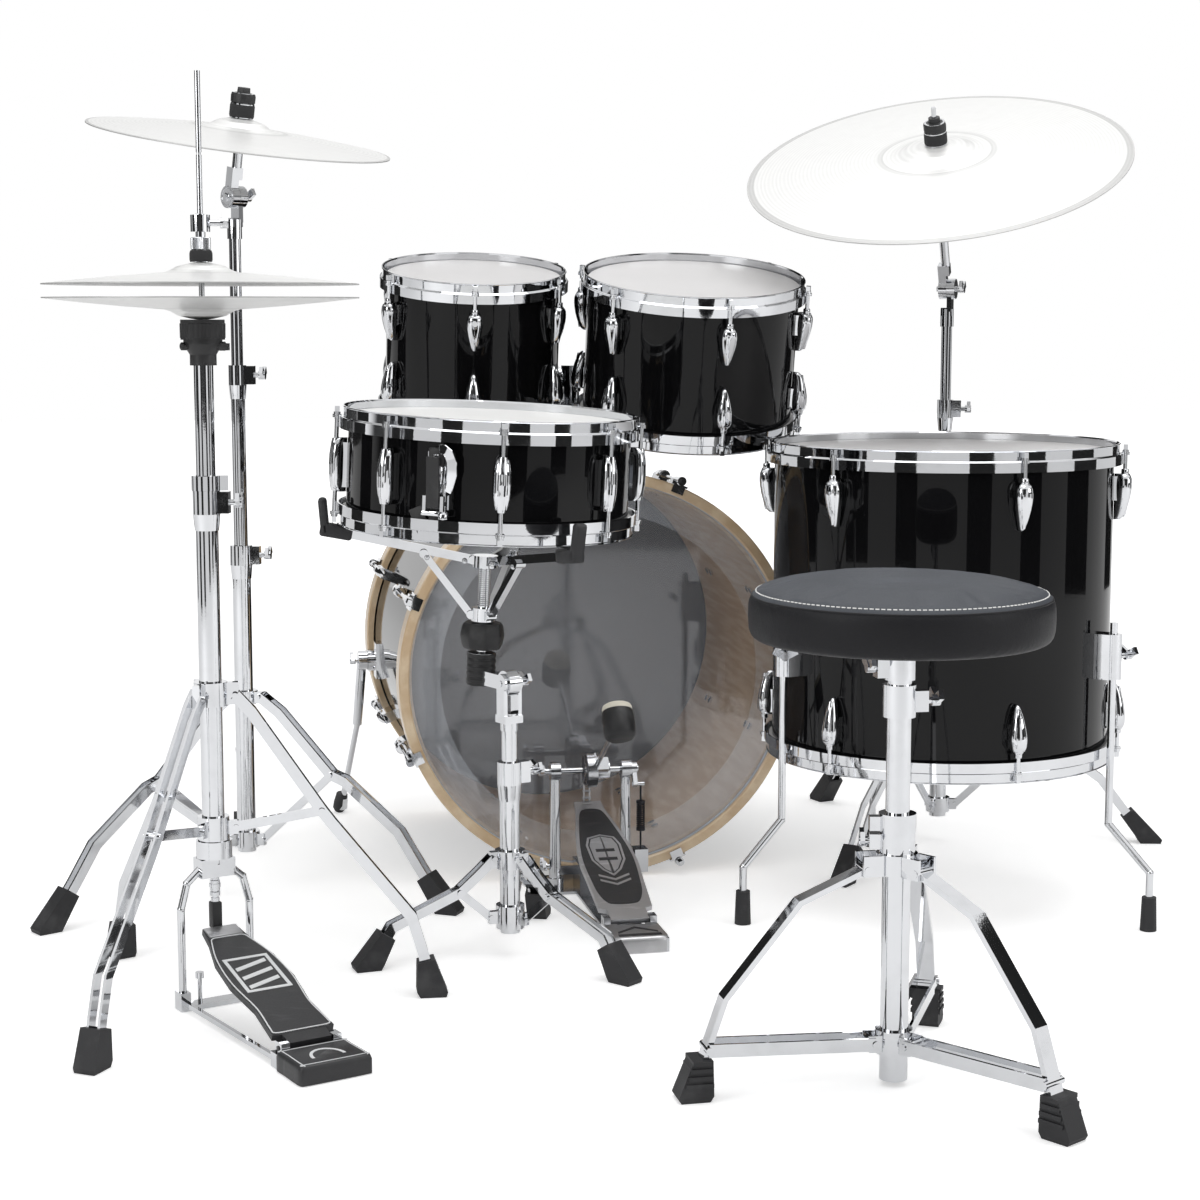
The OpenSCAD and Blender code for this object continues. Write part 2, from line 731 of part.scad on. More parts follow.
// Double-braced tripod about a post: collar_z carries the legs, lower_z the struts;
// knee is the leg point that the strut holds
module tripod(post_r, leg, feet_r, turn, collar, lower, knee, leg_t, tube_z) {
    k = leg[knee];
    root = leg[0];
    ring(post_r + fit, post_r + 6.5, collar[0], collar[1]);
    ring(post_r + fit, post_r + 5.5, lower[0], lower[1]);
    lower_z = (lower[0] + lower[1]) / 2;
    for (a = [0, 120, 240]) rotate(turn + a) {
        // ears on both collars, with the rivets
        translate([post_r + 4, -5, collar[0] + 1]) cube([root[0] - post_r, 10, collar[1] - collar[0] - 2]);
        translate([post_r + 3, -4, lower_z - 8]) cube([13, 8, 16]);
        translate([root[0], leg_half + 4, root[1]]) rotate([90, 0, 0]) cylinder(r = 3.5, h = 2 * leg_half + 8);
        for (s = [-1, 1]) translate([0, s * leg_half, 0])
            bar(concat(leg, [leg_end(leg, feet_r)]), leg_t, leg_strip);
        translate([k[0], leg_half + 4, k[1]]) rotate([90, 0, 0]) cylinder(r = 4, h = 2 * leg_half + 8);
        // flat strut from the leg down to the lower collar
        bar([[post_r + 13, lower_z], k - [1, 1]], 11, 4);
        translate([post_r + 13, 5, lower_z]) rotate([90, 0, 0]) cylinder(r = 3.5, h = 10);
    }
    // base tube
    translate([0, 0, tube_z[0]]) tube(post_r, 1.6, tube_z[1] - tube_z[0]);
}

// Clamp at the top of an outer tube that grips an inner tube; the fork of the wing bolt points to +X
module tube_clamp(r_out, r_in, h, turn) {
    difference() {
        union() {
            cylinder(r = r_out + 2.6, h = h);
            translate([0, 0, -h * 0.7]) cylinder(r1 = r_out + 0.8, r2 = r_out + 2.6, h = h * 0.7);
            rotate(turn) translate([r_out - 2, -7, 1]) cube([16, 14, h - 2]);
            rotate(turn) translate([r_out + 13, 0, h / 2]) wing_bolt(8, 30);
        }
        translate([0, 0, -h * 0.7 - 1]) cylinder(r = r_in + fit, h = h * 0.7 + 1 + h + 1);
        translate([0, 0, -h * 0.7 - 1]) cylinder(r = r_out + fit, h = h * 0.7 + 1);
    }
}

// ---------- snare stand ----------

snare_tripod_turn = 188.8;
snare_clamp_z = 221;
snare_clamp_h = 29;
tilter_z = 350; // axis of the basket's tilter
// where the drum's leaning axis passes a height
function snare_axis(z) = snare_at - (snare_z - z) * sin(snare_tilt) * polar(1, snare_tilt_to);
basket_at = snare_axis(tilter_z) - snare_post_at;
basket_dir = atan2(basket_at[1], basket_at[0]);
basket_off = norm(basket_at);

module at_post() {
    translate([snare_post_at[0], snare_post_at[1], 0]) children();
}

module snare_tripod() {
    color(chrome) at_post() {
        tripod(snare_base_d / 2, snare_leg, snare_feet_r, snare_tripod_turn, [114, 137], [36, 66], 2, 12,
            [30, snare_clamp_z]);
        translate([0, 0, snare_clamp_z]) tube_clamp(snare_base_d / 2, snare_post_d / 2, snare_clamp_h, 20);
    }
}

// Upper tube, ending in a fork for the tilter
module snare_post() {
    r = snare_post_d / 2;
    color(chrome) at_post() {
        translate([0, 0, 80]) tube(r, 1.6, tilter_z - 50 - 80);
        rotate(basket_dir) {
            translate([0, 0, tilter_z - 60]) cylinder(r = r + 1.5, h = 22);
            for (y = [-13, 8]) translate([-9, y, tilter_z - 45]) cube([18, 5, 45]);
            for (y = [-13, 8]) translate([0, y + 5, tilter_z]) rotate([90, 0, 0]) cylinder(r = 12, h = 5);
            translate([-12, -13, tilter_z - 50]) cube([24, 26, 10]);
            translate([0, 14, tilter_z]) rotate([90, 0, 0]) cylinder(r = 4, h = 28);
            translate([0, -13, tilter_z]) rotate([0, 0, -90]) wing_bolt(5, 30);
        }
    }
}

basket_arm_turn = [173.5, 293.5, 53.5];
basket_hub_drop = snare_z - basket_hub_z; // from the upper head down to the hub
basket_grip_r = snare_d / 2 + rod_out + ear_r + 2 * gap; // inner face of the grips' hooks
basket_pad_z = basket_hub_drop - snare_depth - hoop_lip - gap; // top of the pads over the hub
basket_arm = [[16, 2], [basket_grip_r - 6, basket_pad_z - 10]];
basket_strut = [[16, -68], [78, 8]];

// frame of the basket: its axis is the drum's
module basket_place() {
    snare_place() translate([0, 0, snare_depth - basket_hub_drop]) children();
}

module basket_arms() {
    for (a = basket_arm_turn) rotate(a) {
        bar(basket_arm, 11, 5);
        bar(basket_strut, 9, 9);
        for (p = [basket_arm[0], basket_strut[0], basket_strut[1]])
            translate([p[0], 7, p[1]]) rotate([90, 0, 0]) cylinder(r = 5.5, h = 14);
    }
}

// Swivel block, threaded rod, hubs, knob and three arms
module snare_basket() {
    color(chrome) {
        basket_place() {
            translate([0, 0, -7]) cylinder(r = 16, h = 15);
            translate([0, 0, -76]) cylinder(r = 15, h = 17);
            translate([0, 0, -118]) cylinder(d = 14.5, h = 120);
            basket_arms();
            // clamping knob
            translate([0, 0, -110]) cylinder(r1 = 22, r2 = 25.5, h = 14);
            translate([0, 0, -96]) cylinder(r1 = 25.5, r2 = 17, h = 17);
            // swivel block
            translate([0, 0, -157]) cylinder(r = 17.5, h = 40);
        }
        at_post() rotate(basket_dir) difference() {
            union() {
                translate([0, -8 + gap, tilter_z - 9]) cube([basket_off - 6, 16 - 2 * gap, 18]);
                translate([0, 8 - gap, tilter_z]) rotate([90, 0, 0]) cylinder(r = 16, h = 16 - 2 * gap);
            }
            translate([0, 30, tilter_z]) rotate([90, 0, 0]) cylinder(r = 4 + fit, h = 60);
        }
    }
}

// Rubber grips on the arms' ends, which hold the lower hoop
module snare_grips() {
    r1 = basket_grip_r;
    color(black) basket_place() for (a = basket_arm_turn) rotate(a) difference() {
        union() {
            translate([r1 - 30, -9, basket_pad_z - 20]) cube([42, 18, 20]);
            translate([r1, -9, basket_pad_z - 20]) cube([12, 18, 52]);
        }
        bar(basket_arm, 11 + 2 * gap, 5 + 2 * gap);
    }
}

// ---------- cymbals ----------

// Cymbal with its bell up; z = 0 is the plane of the rim. A bowed plate of even thickness
function cymbal_top(d, bow, bell) = [
    [6.4, bow + bell], [d * 0.035, bow + bell - 0.8], [d * 0.075, bow + bell * 0.62], [d * 0.1, bow + bell * 0.16],
    [d * 0.12, bow - 0.4], [d * 0.25, bow * 0.7], [d * 0.38, bow * 0.36], [d * 0.46, bow * 0.12], [d / 2, 0],
];
module cymbal(d, bow, bell, t) {
    top = cymbal_top(d, bow, bell);
    rotate_extrude($fn = 128) polygon([
        for (p = top) [p[0], p[1]],
        for (i = [len(top) - 1:-1:0]) [top[i][0], top[i][1] - t],
    ]);
}

// ---------- hi-hat ----------

hat_tripod_turn = -3.5;
hat_dir = -68.8; // direction of the pedal from the post
hat_clamp_z = 581;
hat_clamp_h = 27;
hat_cup_z = 751;
hat_bow = 13;
hat_bell = 11;
hat_t = 1.2;
hat_cup_top = hat_rim_z - hat_t - hat_bow - hat_bell - 0.1;
hat_frame_half = 43; // half the width of the pedal's frame
hat_heel_x = 242; // heel hinge's distance from the post
hat_hinge_z = 22;
hat_toe = [8, 89]; // the footboard's upper end
hat_board_w = 80;

module at_hat() {
    translate([hat_at[0], hat_at[1], 0]) children();
}

module hihat_tripod() {
    r = hat_base_d / 2;
    color(chrome) at_hat() {
        tripod(r, hat_leg, hat_feet_r, hat_tripod_turn, [358, 386], [199, 227], 2, 13, [172, hat_clamp_z]);
        translate([0, 0, hat_clamp_z]) tube_clamp(r, hat_upper_d / 2, hat_clamp_h, -15);
    }
}

// Arch under the base tube, floor bar, heel plate and the two side rods
module hihat_frame() {
    r = hat_base_d / 2;
    color(chrome) at_hat() rotate(hat_dir) {
        difference() {
            union() {
                ring(r + fit, r + 8, 178, 199 - gap);
                translate([-13, -r - 8, 156]) cube([26, 2 * r + 16, 22 - seat_gap]);
            }
            translate([0, 0, 100]) cylinder(d = hat_rod_d + 3, h = 120);
            translate([0, 0, 171]) cylinder(r = r + fit, h = 50);
        }
        for (s = [-1, 1]) {
            rod_path([
                [0, s * (r + 4), 166], [0, s * (hat_frame_half - 8), 150],
                [0, s * hat_frame_half, 120], [0, s * hat_frame_half, 14],
            ], 9);
            translate([-10, s * hat_frame_half - 6, 0]) cube([20, 12, 22]);
            translate([8, s * (hat_frame_half - 1), 6]) rotate([0, 0, -s * 1.5]) translate([0, -2.5, 0])
                cube([hat_heel_x - 10, 5, 6]);
        }
        translate([-10, -hat_frame_half, 0]) cube([20, 2 * hat_frame_half, 6]);
        // spring-tension screw
        translate([-4, -20, 5]) cylinder(d = 5, h = 30);
        translate([-4, -20, 34]) cylinder(d = 10, h = 7);
        // heel plate
        difference() {
            translate([hat_heel_x - 4, -hat_board_w / 2, 0]) cube([78, hat_board_w, 17]);
            translate([hat_heel_x, -25, 10]) cube([16, 50, 20]);
        }
        for (s = [-1, 1]) difference() {
            translate([hat_heel_x, s * 31 - 5, 8]) cube([16, 10, 21]);
            translate([hat_heel_x + 8, -60, hat_hinge_z]) rotate([-90, 0, 0]) cylinder(r = 3 + fit, h = 120);
        }
    }
}

// the footboard's plane, from the heel hinge up to the toe
hat_board_l = norm([hat_heel_x + 8 - hat_toe[0], hat_toe[1] - hat_hinge_z]);
hat_board_a = atan2(hat_toe[1] - hat_hinge_z, hat_heel_x + 8 - hat_toe[0]);
module hihat_footboard() {
    color(black) at_hat() rotate(hat_dir) translate([hat_heel_x + 8, 0, hat_hinge_z]) {
        rotate([-90, 0, 0]) translate([0, 0, -37]) cylinder(r = 3, h = 74);
        rotate([0, hat_board_a, 0]) difference() {
            translate([-hat_board_l, 0, 0]) linear_extrude(7) polygon([
                [hat_board_l + 4, -25], [hat_board_l + 4, 25], [hat_board_l - 14, 26], [hat_board_l - 16, 37],
                [hat_board_l * 0.72, 33], [hat_board_l * 0.5, 39], [hat_board_l * 0.3, 36], [30, 25], [0, 21],
                [0, -21], [30, -25], [hat_board_l * 0.3, -36], [hat_board_l * 0.5, -39],
                [hat_board_l * 0.72, -33], [hat_board_l - 16, -37], [hat_board_l - 14, -26],
            ]);
            translate([-hat_board_l - 1, -6, -5]) cube([26, 12, 20]);
        }
    }
}

// Upper tube: telescopes in the base and carries the seat cup
module hihat_upper_tube() {
    color(chrome) at_hat() {
        translate([0, 0, 430]) tube(hat_upper_d / 2, 1.6, hat_cup_z + 20 - 430);
        translate([0, 0, hat_clamp_z + hat_clamp_h + seat_gap]) difference() {
            union() {
                cylinder(r = hat_upper_d / 2 + 5.5, h = 17);
                translate([hat_upper_d / 2, -6, 0]) cube([14, 12, 17]);
            }
            translate([0, 0, -1]) cylinder(r = hat_upper_d / 2 + fit, h = 22);
        }
    }
}

module hihat_seat_cup() {
    r = hat_upper_d / 2;
    color(black) at_hat() difference() {
        union() {
            translate([0, 0, hat_cup_z]) cylinder(r = r + 4, h = 14);
            translate([0, 0, hat_cup_z + 12]) cylinder(r1 = r + 4, r2 = 22, h = 12);
            translate([0, 0, hat_cup_z + 24]) cylinder(r = 22, h = 6);
            translate([0, 0, hat_cup_z + 29]) cylinder(r = 25, h = hat_cup_top - hat_cup_z - 29);
            rotate(-20) translate([12, -5, hat_cup_z + 17]) cube([18, 10, 8]);
        }
        translate([0, 0, hat_cup_z - 1]) cylinder(r = r + fit, h = 22);
        translate([0, 0, hat_cup_z]) cylinder(d = hat_rod_d + 3, h = 80);
    }
}

module hihat_bottom_cymbal() {
    color("whitesmoke") at_hat() translate([0, 0, hat_rim_z - hat_t]) mirror([0, 0, 1])
        cymbal(hat_d, hat_bow, hat_bell, hat_t);
}

module hihat_top_cymbal() {
    color("whitesmoke") at_hat() translate([0, 0, hat_rim_z + hat_gap + hat_t]) cymbal(hat_d, hat_bow, hat_bell, hat_t);
}

hat_top_z = hat_rim_z + hat_gap + hat_t + hat_bow + hat_bell; // top of the upper bell
module hihat_clutch() {
    color(chrome) at_hat() difference() {
        union() {
            translate([0, 0, hat_top_z - 18]) cylinder(r = 5.6, h = 72);
            translate([0, 0, hat_top_z - 16]) cylinder(r = 10, h = 8);
            translate([0, 0, hat_top_z - hat_t - 6.3]) cylinder(r = 9.5, h = 6);
            translate([0, 0, hat_top_z + 0.2]) cylinder(r = 12, h = 8);
            translate([0, 0, hat_top_z + 8]) cylinder(r = 9.5, h = 20);
            translate([0, 0, hat_top_z + 34]) cylinder(r = 11, h = 19);
            translate([9, 0, hat_top_z + 44]) wing_bolt(14, 30);
        }
        translate([0, 0, hat_top_z - 40]) cylinder(r = hat_rod_d / 2 + fit, h = 120);
    }
}

// Pull rod and the link that hooks it to the footboard
module hihat_rod() {
    color("gray") at_hat() {
        translate([0, 0, 128]) cylinder(d = hat_rod_d, h = hat_rod_top - hat_tip_l - hat_groove_w - 128);
        translate([0, 0, hat_rod_top - hat_tip_l - hat_groove_w - 1]) cylinder(d = hat_groove_d, h = hat_groove_w + 2);
        translate([0, 0, hat_rod_top - hat_tip_l]) cylinder(d = hat_rod_d, h = hat_tip_l);
        translate([0, 0, 138]) cylinder(d = 12, h = 12);
        translate([0, 0, 122]) cylinder(d = 8, h = 18);
        rotate(hat_dir) {
            translate([-5, -4, 98]) cube([10, 8, 26]);
        }
    }
}

// ---------- cymbal stands ----------

// the stand's own frame has its tilter's axis along Y and the cymbal tipped towards +X
crash_turn = -56.5;
ride_turn = -122;
crash_tripod_turn = 88.8;
ride_tripod_turn = 106;
ride_spread = ride_feet_r / crash_feet_r;
ride_lower = 0.92; // the ride stand's legs are spread wider and so stand lower
stand_clamp_z = 465;
stand_clamp_h = 27;
crash_joint_z = 712;
ride_joint_z = 652;
crash_tilter_z = 965;
ride_tilter_z = 845;
crash_bow = 15;
crash_bell = 13;
ride_bow = 20;
ride_bell = 13;
crash_stud = 6; // stud's length over its nut
ride_stud = 22;
cymbal_t = 1.4;
ratchet_r = 15;

module crash_place() {
    translate([crash_at[0], crash_at[1], 0]) children();
}

module ride_place() {
    translate([ride_at[0], ride_at[1], 0]) children();
}

module stand_base(leg, feet_r, up, turn, clamp_turn) {
    r = stand_base_d / 2;
    drop = stand_leg[0][1] * (1 - up);
    tripod(r, leg, feet_r, turn, [272 - drop, 290 - drop], [69 - drop, 91 - drop], 2, 13,
        [62 - drop, stand_clamp_z]);
    translate([0, 0, stand_clamp_z]) tube_clamp(r, stand_mid_d / 2, stand_clamp_h, clamp_turn);
}

module stand_mid(joint_z, clamp_turn) {
    r = stand_mid_d / 2;
    translate([0, 0, 300]) tube(r, 1.2, joint_z - 300);
    translate([0, 0, joint_z]) tube_clamp(r, stand_top_d / 2, stand_clamp_h, clamp_turn);
}

// Top tube with the lower half of the ratchet tilter
module stand_top(joint_z, hinge_z, turn) {
    r = stand_top_d / 2;
    translate([0, 0, joint_z - 130]) tube(r, 1.2, hinge_z - 44 - joint_z + 130);
    translate([0, 0, hinge_z - 56]) cylinder(r = r + 2, h = 26);
    rotate(turn) {
        translate([-9, 1, hinge_z - 34]) cube([18, 7, 34]);
        translate([-8, -8, hinge_z - 40]) cube([16, 16, 12]);
        translate([0, 13, hinge_z]) rotate([90, 0, 0]) cylinder(r = ratchet_r, h = 12);
        translate([0, 14, hinge_z]) rotate([90, 0, 0]) cylinder(r = 4, h = 30);
        translate([0, 12, hinge_z]) rotate([0, 0, 90]) wing_bolt(6, 32);
    }
}

// Upper half of the tilter: arm, stud, washer, felts and nut; rod is the distance to the cymbal's hole
module stand_tilter(hinge_z, turn, tilt, rod, stud) {
    translate([0, 0, hinge_z]) rotate(turn) rotate([0, tilt, 0]) {
        difference() {
            union() {
                translate([0, 1 - gap, 0]) rotate([90, 0, 0]) cylinder(r = ratchet_r, h = 12);
                translate([-7, -11, 0]) cube([14, 12 - gap, 34]);
                translate([-7, -11, 24]) cube([14, 17, 16]);
            }
            translate([0, 20, 0]) rotate([90, 0, 0]) cylinder(r = 4 + fit, h = 40);
        }
        translate([0, 0, 38]) cylinder(r = 6.5, h = rod - 58);
        // seat washer, lower felt, sleeve, upper felt, nut and stud
        translate([0, 0, rod - 20]) cylinder(r = 12, h = 4);
        translate([0, 0, rod - 16]) cylinder(r = 11, h = 14 - cymbal_t - gap);
        translate([0, 0, rod - 8]) cylinder(r = 5, h = 14);
        translate([0, 0, rod + gap]) cylinder(r = 16, h = 19);
        translate([0, 0, rod + 20]) cylinder(r = 15, h = 13);
        translate([0, 0, rod + 30]) cylinder(d = 7, h = 3 + stud);
    }
}

// Cymbal on its tilter's stud: the bell's top is at the distance rod
module stand_cymbal(hinge_z, turn, tilt, rod, d, bow, bell) {
    translate([0, 0, hinge_z]) rotate(turn) rotate([0, tilt, 0])
        translate([0, 0, rod - bow - bell]) cymbal(d, bow, bell, cymbal_t);
}

crash_rod = (crash_z - crash_tilter_z) / cos(crash_tilt);

module crash_tripod() {
    color(chrome) crash_place() stand_base(stand_leg, crash_feet_r, 1, crash_tripod_turn, -15);
}

module crash_mid_tube() {
    color(chrome) crash_place() stand_mid(crash_joint_z, -15);
}

module crash_top_tube() {
    color(chrome) crash_place() stand_top(crash_joint_z, crash_tilter_z, crash_turn);
}

module crash_tilter() {
    color(chrome) crash_place() 
        stand_tilter(crash_tilter_z, crash_turn, crash_tilt, crash_rod, crash_stud);
}

module crash_cymbal() {
    color("whitesmoke") crash_place()
        stand_cymbal(crash_tilter_z, crash_turn, crash_tilt, crash_rod, crash_d, crash_bow, crash_bell);
}

module ride_tripod() {
    color(chrome) ride_place() 
        stand_base(spread(stand_leg, ride_spread, ride_lower), ride_feet_r, ride_lower, ride_tripod_turn, -20);
}

module ride_mid_tube() {
    color(chrome) ride_place() stand_mid(ride_joint_z, -20);
}

module ride_top_tube() {
    color(chrome) ride_place() stand_top(ride_joint_z, ride_tilter_z, ride_turn);
}

module ride_tilter() {
    color(chrome) ride_place() 
        stand_tilter(ride_tilter_z, ride_turn, ride_tilt, ride_rod, ride_stud);
}

module ride_cymbal() {
    color("whitesmoke") ride_place()
        stand_cymbal(ride_tilter_z, ride_turn, ride_tilt, ride_rod, ride_d, ride_bow, ride_bell);
}

// ---------- rubber feet ----------

// Boots on a tripod's legs: wedges that stand on the floor and take the legs' ends
module leg_boots(leg, feet_r, turn, leg_t) {
    b = leg[len(leg) - 1];
    f = [feet_r, 0];
    u = (f - b) / norm(f - b);
    n = [-u[1], u[0]];
    top = b + (f - b) * 0.18;
    e = leg_end(leg, feet_r);
    for (a = [0, 120, 240]) rotate(turn + a) difference() {
        rotate([90, 0, 0]) translate([0, 0, -leg_half - 6]) linear_extrude(2 * leg_half + 12) polygon([
            f + [-16, 0], f + [15, 0], f + [17, 6], top + n * (leg_t / 2 + 5), top - n * (leg_t / 2 + 3), f + [-20, 7],
        ]);
        bar([b, e + u * gap], leg_t + 2 * gap, 2 * leg_half + leg_strip + 2 * gap);
    }
}

module rubber_feet() {
    color(black) {
        at_post() leg_boots(snare_leg, snare_feet_r, snare_tripod_turn, 12);
        at_hat() leg_boots(hat_leg, hat_feet_r, hat_tripod_turn, 13);
        crash_place() leg_boots(stand_leg, crash_feet_r, crash_tripod_turn, 13);
        ride_place() leg_boots(spread(stand_leg, ride_spread, ride_lower), ride_feet_r, ride_tripod_turn, 13);
        // ribbed throne feet
        at_seat() for (a = seat_leg_angles) rotate(a) difference() {
            union() {
                translate([seat_feet_r - 12, 0, 0]) rotate([90, 0, 0]) translate([0, 0, -15]) linear_extrude(30)
                    polygon([[-14, 0], [17, 0], [20, 5], [4, 44], [-17, 44], [-18, 6]]);
                for (z = boot_ribs) translate([seat_feet_r - 31 + z * 0.1, -boot_rib[1] / 2, z])
                    cube([boot_rib[0] - z * 0.4, boot_rib[1], boot_rib[2]]);
            }
            seat_leg_shape(gap);
        }
        // floor tom leg tips
        translate([floor_at[0], floor_at[1], 0]) for (a = floor_leg_angles) rotate(a)
            translate([floor_foot_r, 0, 0]) difference() {
                cylinder(r1 = 11, r2 = 9.5, h = 45);
                translate([0, 0, 12 - gap]) cylinder(d = floor_leg_d + 2 * seat_gap, h = 40);
            }
    }
}

// ---------- bass pedal ----------

pedal_axle_y = -52;
pedal_hinge = [-311, 22]; // heel hinge: y and z
cam_r = 25;
board_a = 18.2; // footboard's slope at rest
beater_x = 6; // beater's distance from the pedal's centre line
rocker_pin = [-13, -20]; // spring's pin from the axle: y and z

module at_pedal() {
    translate([pedal_x, 0, 0]) children();
}

// Base plate, heel plate, posts, hoop clamp and the spring's lower holder
pedal_heel_l = 79;
pedal_heel_w = 72;
pedal_post_r = 7;
bearing_w = 14;
spring_x = pedal_post_gap / 2 + bearing_w / 2 + gap + 12;
spring_y = pedal_axle_y + rocker_pin[0];
spring_foot_z = 57;
module pedal_frame() {
    half = pedal_post_gap / 2;
    heel_y = pedal_hinge[0] - pedal_heel_l;
    color(chrome) at_pedal() {
        // floor plate, which reaches under the hoop
        translate([-pedal_heel_w / 2, heel_y, 0]) cube([pedal_heel_w, pedal_heel_l + 20, pedal_jaw]);
        translate([-27, heel_y, 0]) cube([54, -heel_y - 20, pedal_jaw]);
        translate([-half - 10, pedal_axle_y - 32, 0]) cube([2 * half + 20, 32 - pedal_axle_y + 15, pedal_jaw]);
        // heel plate on top of the floor plate
        difference() {
            translate([-pedal_heel_w / 2, heel_y, pedal_jaw]) cube([pedal_heel_w, pedal_heel_l - 9, 14]);
            translate([-26, heel_y + 10, 14]) cube([52, pedal_heel_l - 28, 20]);
        }
        for (s = [-1, 1]) difference() {
            translate([s * 31 - 4.5, pedal_hinge[0] - 10, pedal_jaw - 1]) cube([9, 18, 26]);
            translate([-60, pedal_hinge[0], pedal_hinge[1]]) rotate([0, 90, 0]) cylinder(r = 3 + fit, h = 120);
        }
        // posts with bearing heads
        for (s = [-1, 1]) translate([s * half, pedal_axle_y, 0]) difference() {
            union() {
                translate([0, 0, pedal_jaw - 0.5]) cylinder(r1 = 9, r2 = pedal_post_r, h = pedal_axle_z - 12);
                translate([0, 0, pedal_jaw - 0.5]) cylinder(r = 12, h = 14);
                translate([-bearing_w / 2, 0, pedal_axle_z]) rotate([0, 90, 0]) cylinder(r = 13, h = bearing_w);
            }
            translate([-20, 0, pedal_axle_z]) rotate([0, 90, 0]) cylinder(r = 4.5 + fit, h = 40);
        }
        // cross bar and the clamp's block in front of the hoop, with its wing screw on the left
        translate([-half, pedal_axle_y - 6, 22]) cube([2 * half, 12, 10]);
        translate([-15, pedal_axle_y, pedal_jaw - 0.5]) cube([30, -pedal_axle_y - gap, 28]);
        translate([-half - 7, pedal_axle_y, 34]) mirror([1, 0, 0]) wing_bolt(6, 26);
        // holder for the spring's lower end, on an arm from the right post
        translate([half, pedal_axle_y - 5, 30]) cube([spring_x - half, 10, 8]);
        translate([spring_x - 9.5, spring_y - 8, 24]) cube([19, 26, spring_foot_z - 24 - gap]);
    }
    // jaw that bears on the hoop from inside
    color(chrome) intersection() {
        translate([pedal_x - 15, -2, 12]) cube([30, 8, 20]);
        bass_place() translate([0, 0, -5]) cylinder(r = bass_r - 3 - seat_gap, h = 40, $fn = 128);
    }
}

// Footboard, hinged at the heel plate, with the chain that rises from its toe to the cam
module pedal_footboard() {
    l = pedal_board_l;
    chain_y = pedal_axle_y + cam_r + gap;
    toe_z = pedal_hinge[1] + l * sin(board_a);
    color("gray") at_pedal() {
        translate([0, pedal_hinge[0], pedal_hinge[1]]) {
            rotate([0, 90, 0]) translate([0, 0, -35]) cylinder(r = 3, h = 70);
            rotate([board_a, 0, 0]) translate([0, 0, -2]) linear_extrude(7) polygon([
                [-26, -5], [26, -5], [26, 20], [36, 24], [38, l * 0.3], [40, l * 0.45], [38, l * 0.58],
                [30, l * 0.76], [21, l * 0.92], [19, l], [-19, l], [-21, l * 0.92], [-30, l * 0.76],
                [-38, l * 0.58], [-40, l * 0.45], [-38, l * 0.3], [-36, 24], [-26, 20],
            ]);
        }
        translate([-7, chain_y - 8, toe_z - 5]) cube([14, 12, 9]);
        for (i = [0:4]) translate([0, chain_y + 2, toe_z + 3 + i * 10]) {
            for (x = [-5, 3]) translate([x, -1.6, 0]) cube([2, 3.2, 12]);
            translate([-6, 0, 6]) rotate([0, 90, 0]) cylinder(r = 1.9, h = 12, $fn = 24);
        }
    }
}

// Axle with the cam, the beater's clamp and shaft, and the rocker arm that pulls the spring
module pedal_cam() {
    half = pedal_post_gap / 2;
    rocker_x = half + bearing_w / 2 + gap;
    color(chrome) at_pedal() translate([0, pedal_axle_y, pedal_axle_z]) {
        translate([-half - 16, 0, 0]) rotate([0, 90, 0]) cylinder(r = 4.5, h = 2 * half + 34);
        translate([-half - 12, 0, 0]) mirror([1, 0, 0]) wing_bolt(3, 30);
        translate([-7, 0, 0]) rotate([0, 90, 0]) cylinder(r = cam_r, h = 14);
        translate([beater_x + 2, 0, 0]) rotate([0, 90, 0]) cylinder(r = 14, h = 18);
        translate([beater_x, 0, 0]) rotate([beater_lean, 0, 0]) {
            translate([-2, -9, 0]) cube([18, 18, 26]);
            cylinder(d = 7.5, h = beater_l);
            translate([0, 9, 17]) rotate([-90, 0, 0]) cylinder(d = 7, h = 9);
        }
        translate([rocker_x, 0, 0]) rotate([0, 90, 0]) cylinder(r = 10, h = 8);
        translate([rocker_x, 0, 0]) rotate([atan2(rocker_pin[1], rocker_pin[0]), 0, 0])
            translate([1, 0, -5]) cube([6, norm(rocker_pin) + 3, 10]);
        translate([rocker_x, rocker_pin[0], rocker_pin[1]]) rotate([0, 90, 0]) cylinder(r = 3, h = 17);
    }
}

// Beater head: a round block on the shaft's end, with a felt face towards the drum
module pedal_beater() {
    color(black) at_pedal() translate([beater_x, pedal_axle_y, pedal_axle_z]) rotate([beater_lean, 0, 0])
        difference() {
            translate([0, 0, beater_l]) rotate([-90, 0, 0]) translate([0, 0, -24.5]) cylinder(r = 22, h = 49);
            cylinder(d = 7.5 + 2 * seat_gap, h = beater_l + gap);
        }
}

// Return spring between the rocker's pin and the frame, as the space that its coils fill
module pedal_spring() {
    top_z = pedal_axle_z + rocker_pin[1] - 3 - gap;
    color(black) at_pedal() translate([spring_x, spring_y, 0]) {
        translate([0, 0, 86]) cylinder(r = 6.5, h = 39);
        translate([0, 0, spring_foot_z]) cylinder(r = 1.8, h = top_z - spring_foot_z);
    }
}

// ---------- throne ----------

seat_leg_angles = [60.8, 180.8, 300.8];
seat_collar_z = 240;
seat_lower_z = 48;
seat_base_top = 259;
seat_leg_w = 20;
seat_leg_t = 6;
seat_leg = [[33, 236], [107, 204], [187, 106], [205, 54], [217, 12]];
module at_seat() {
    translate([seat_at[0], seat_at[1], 0]) children();
}

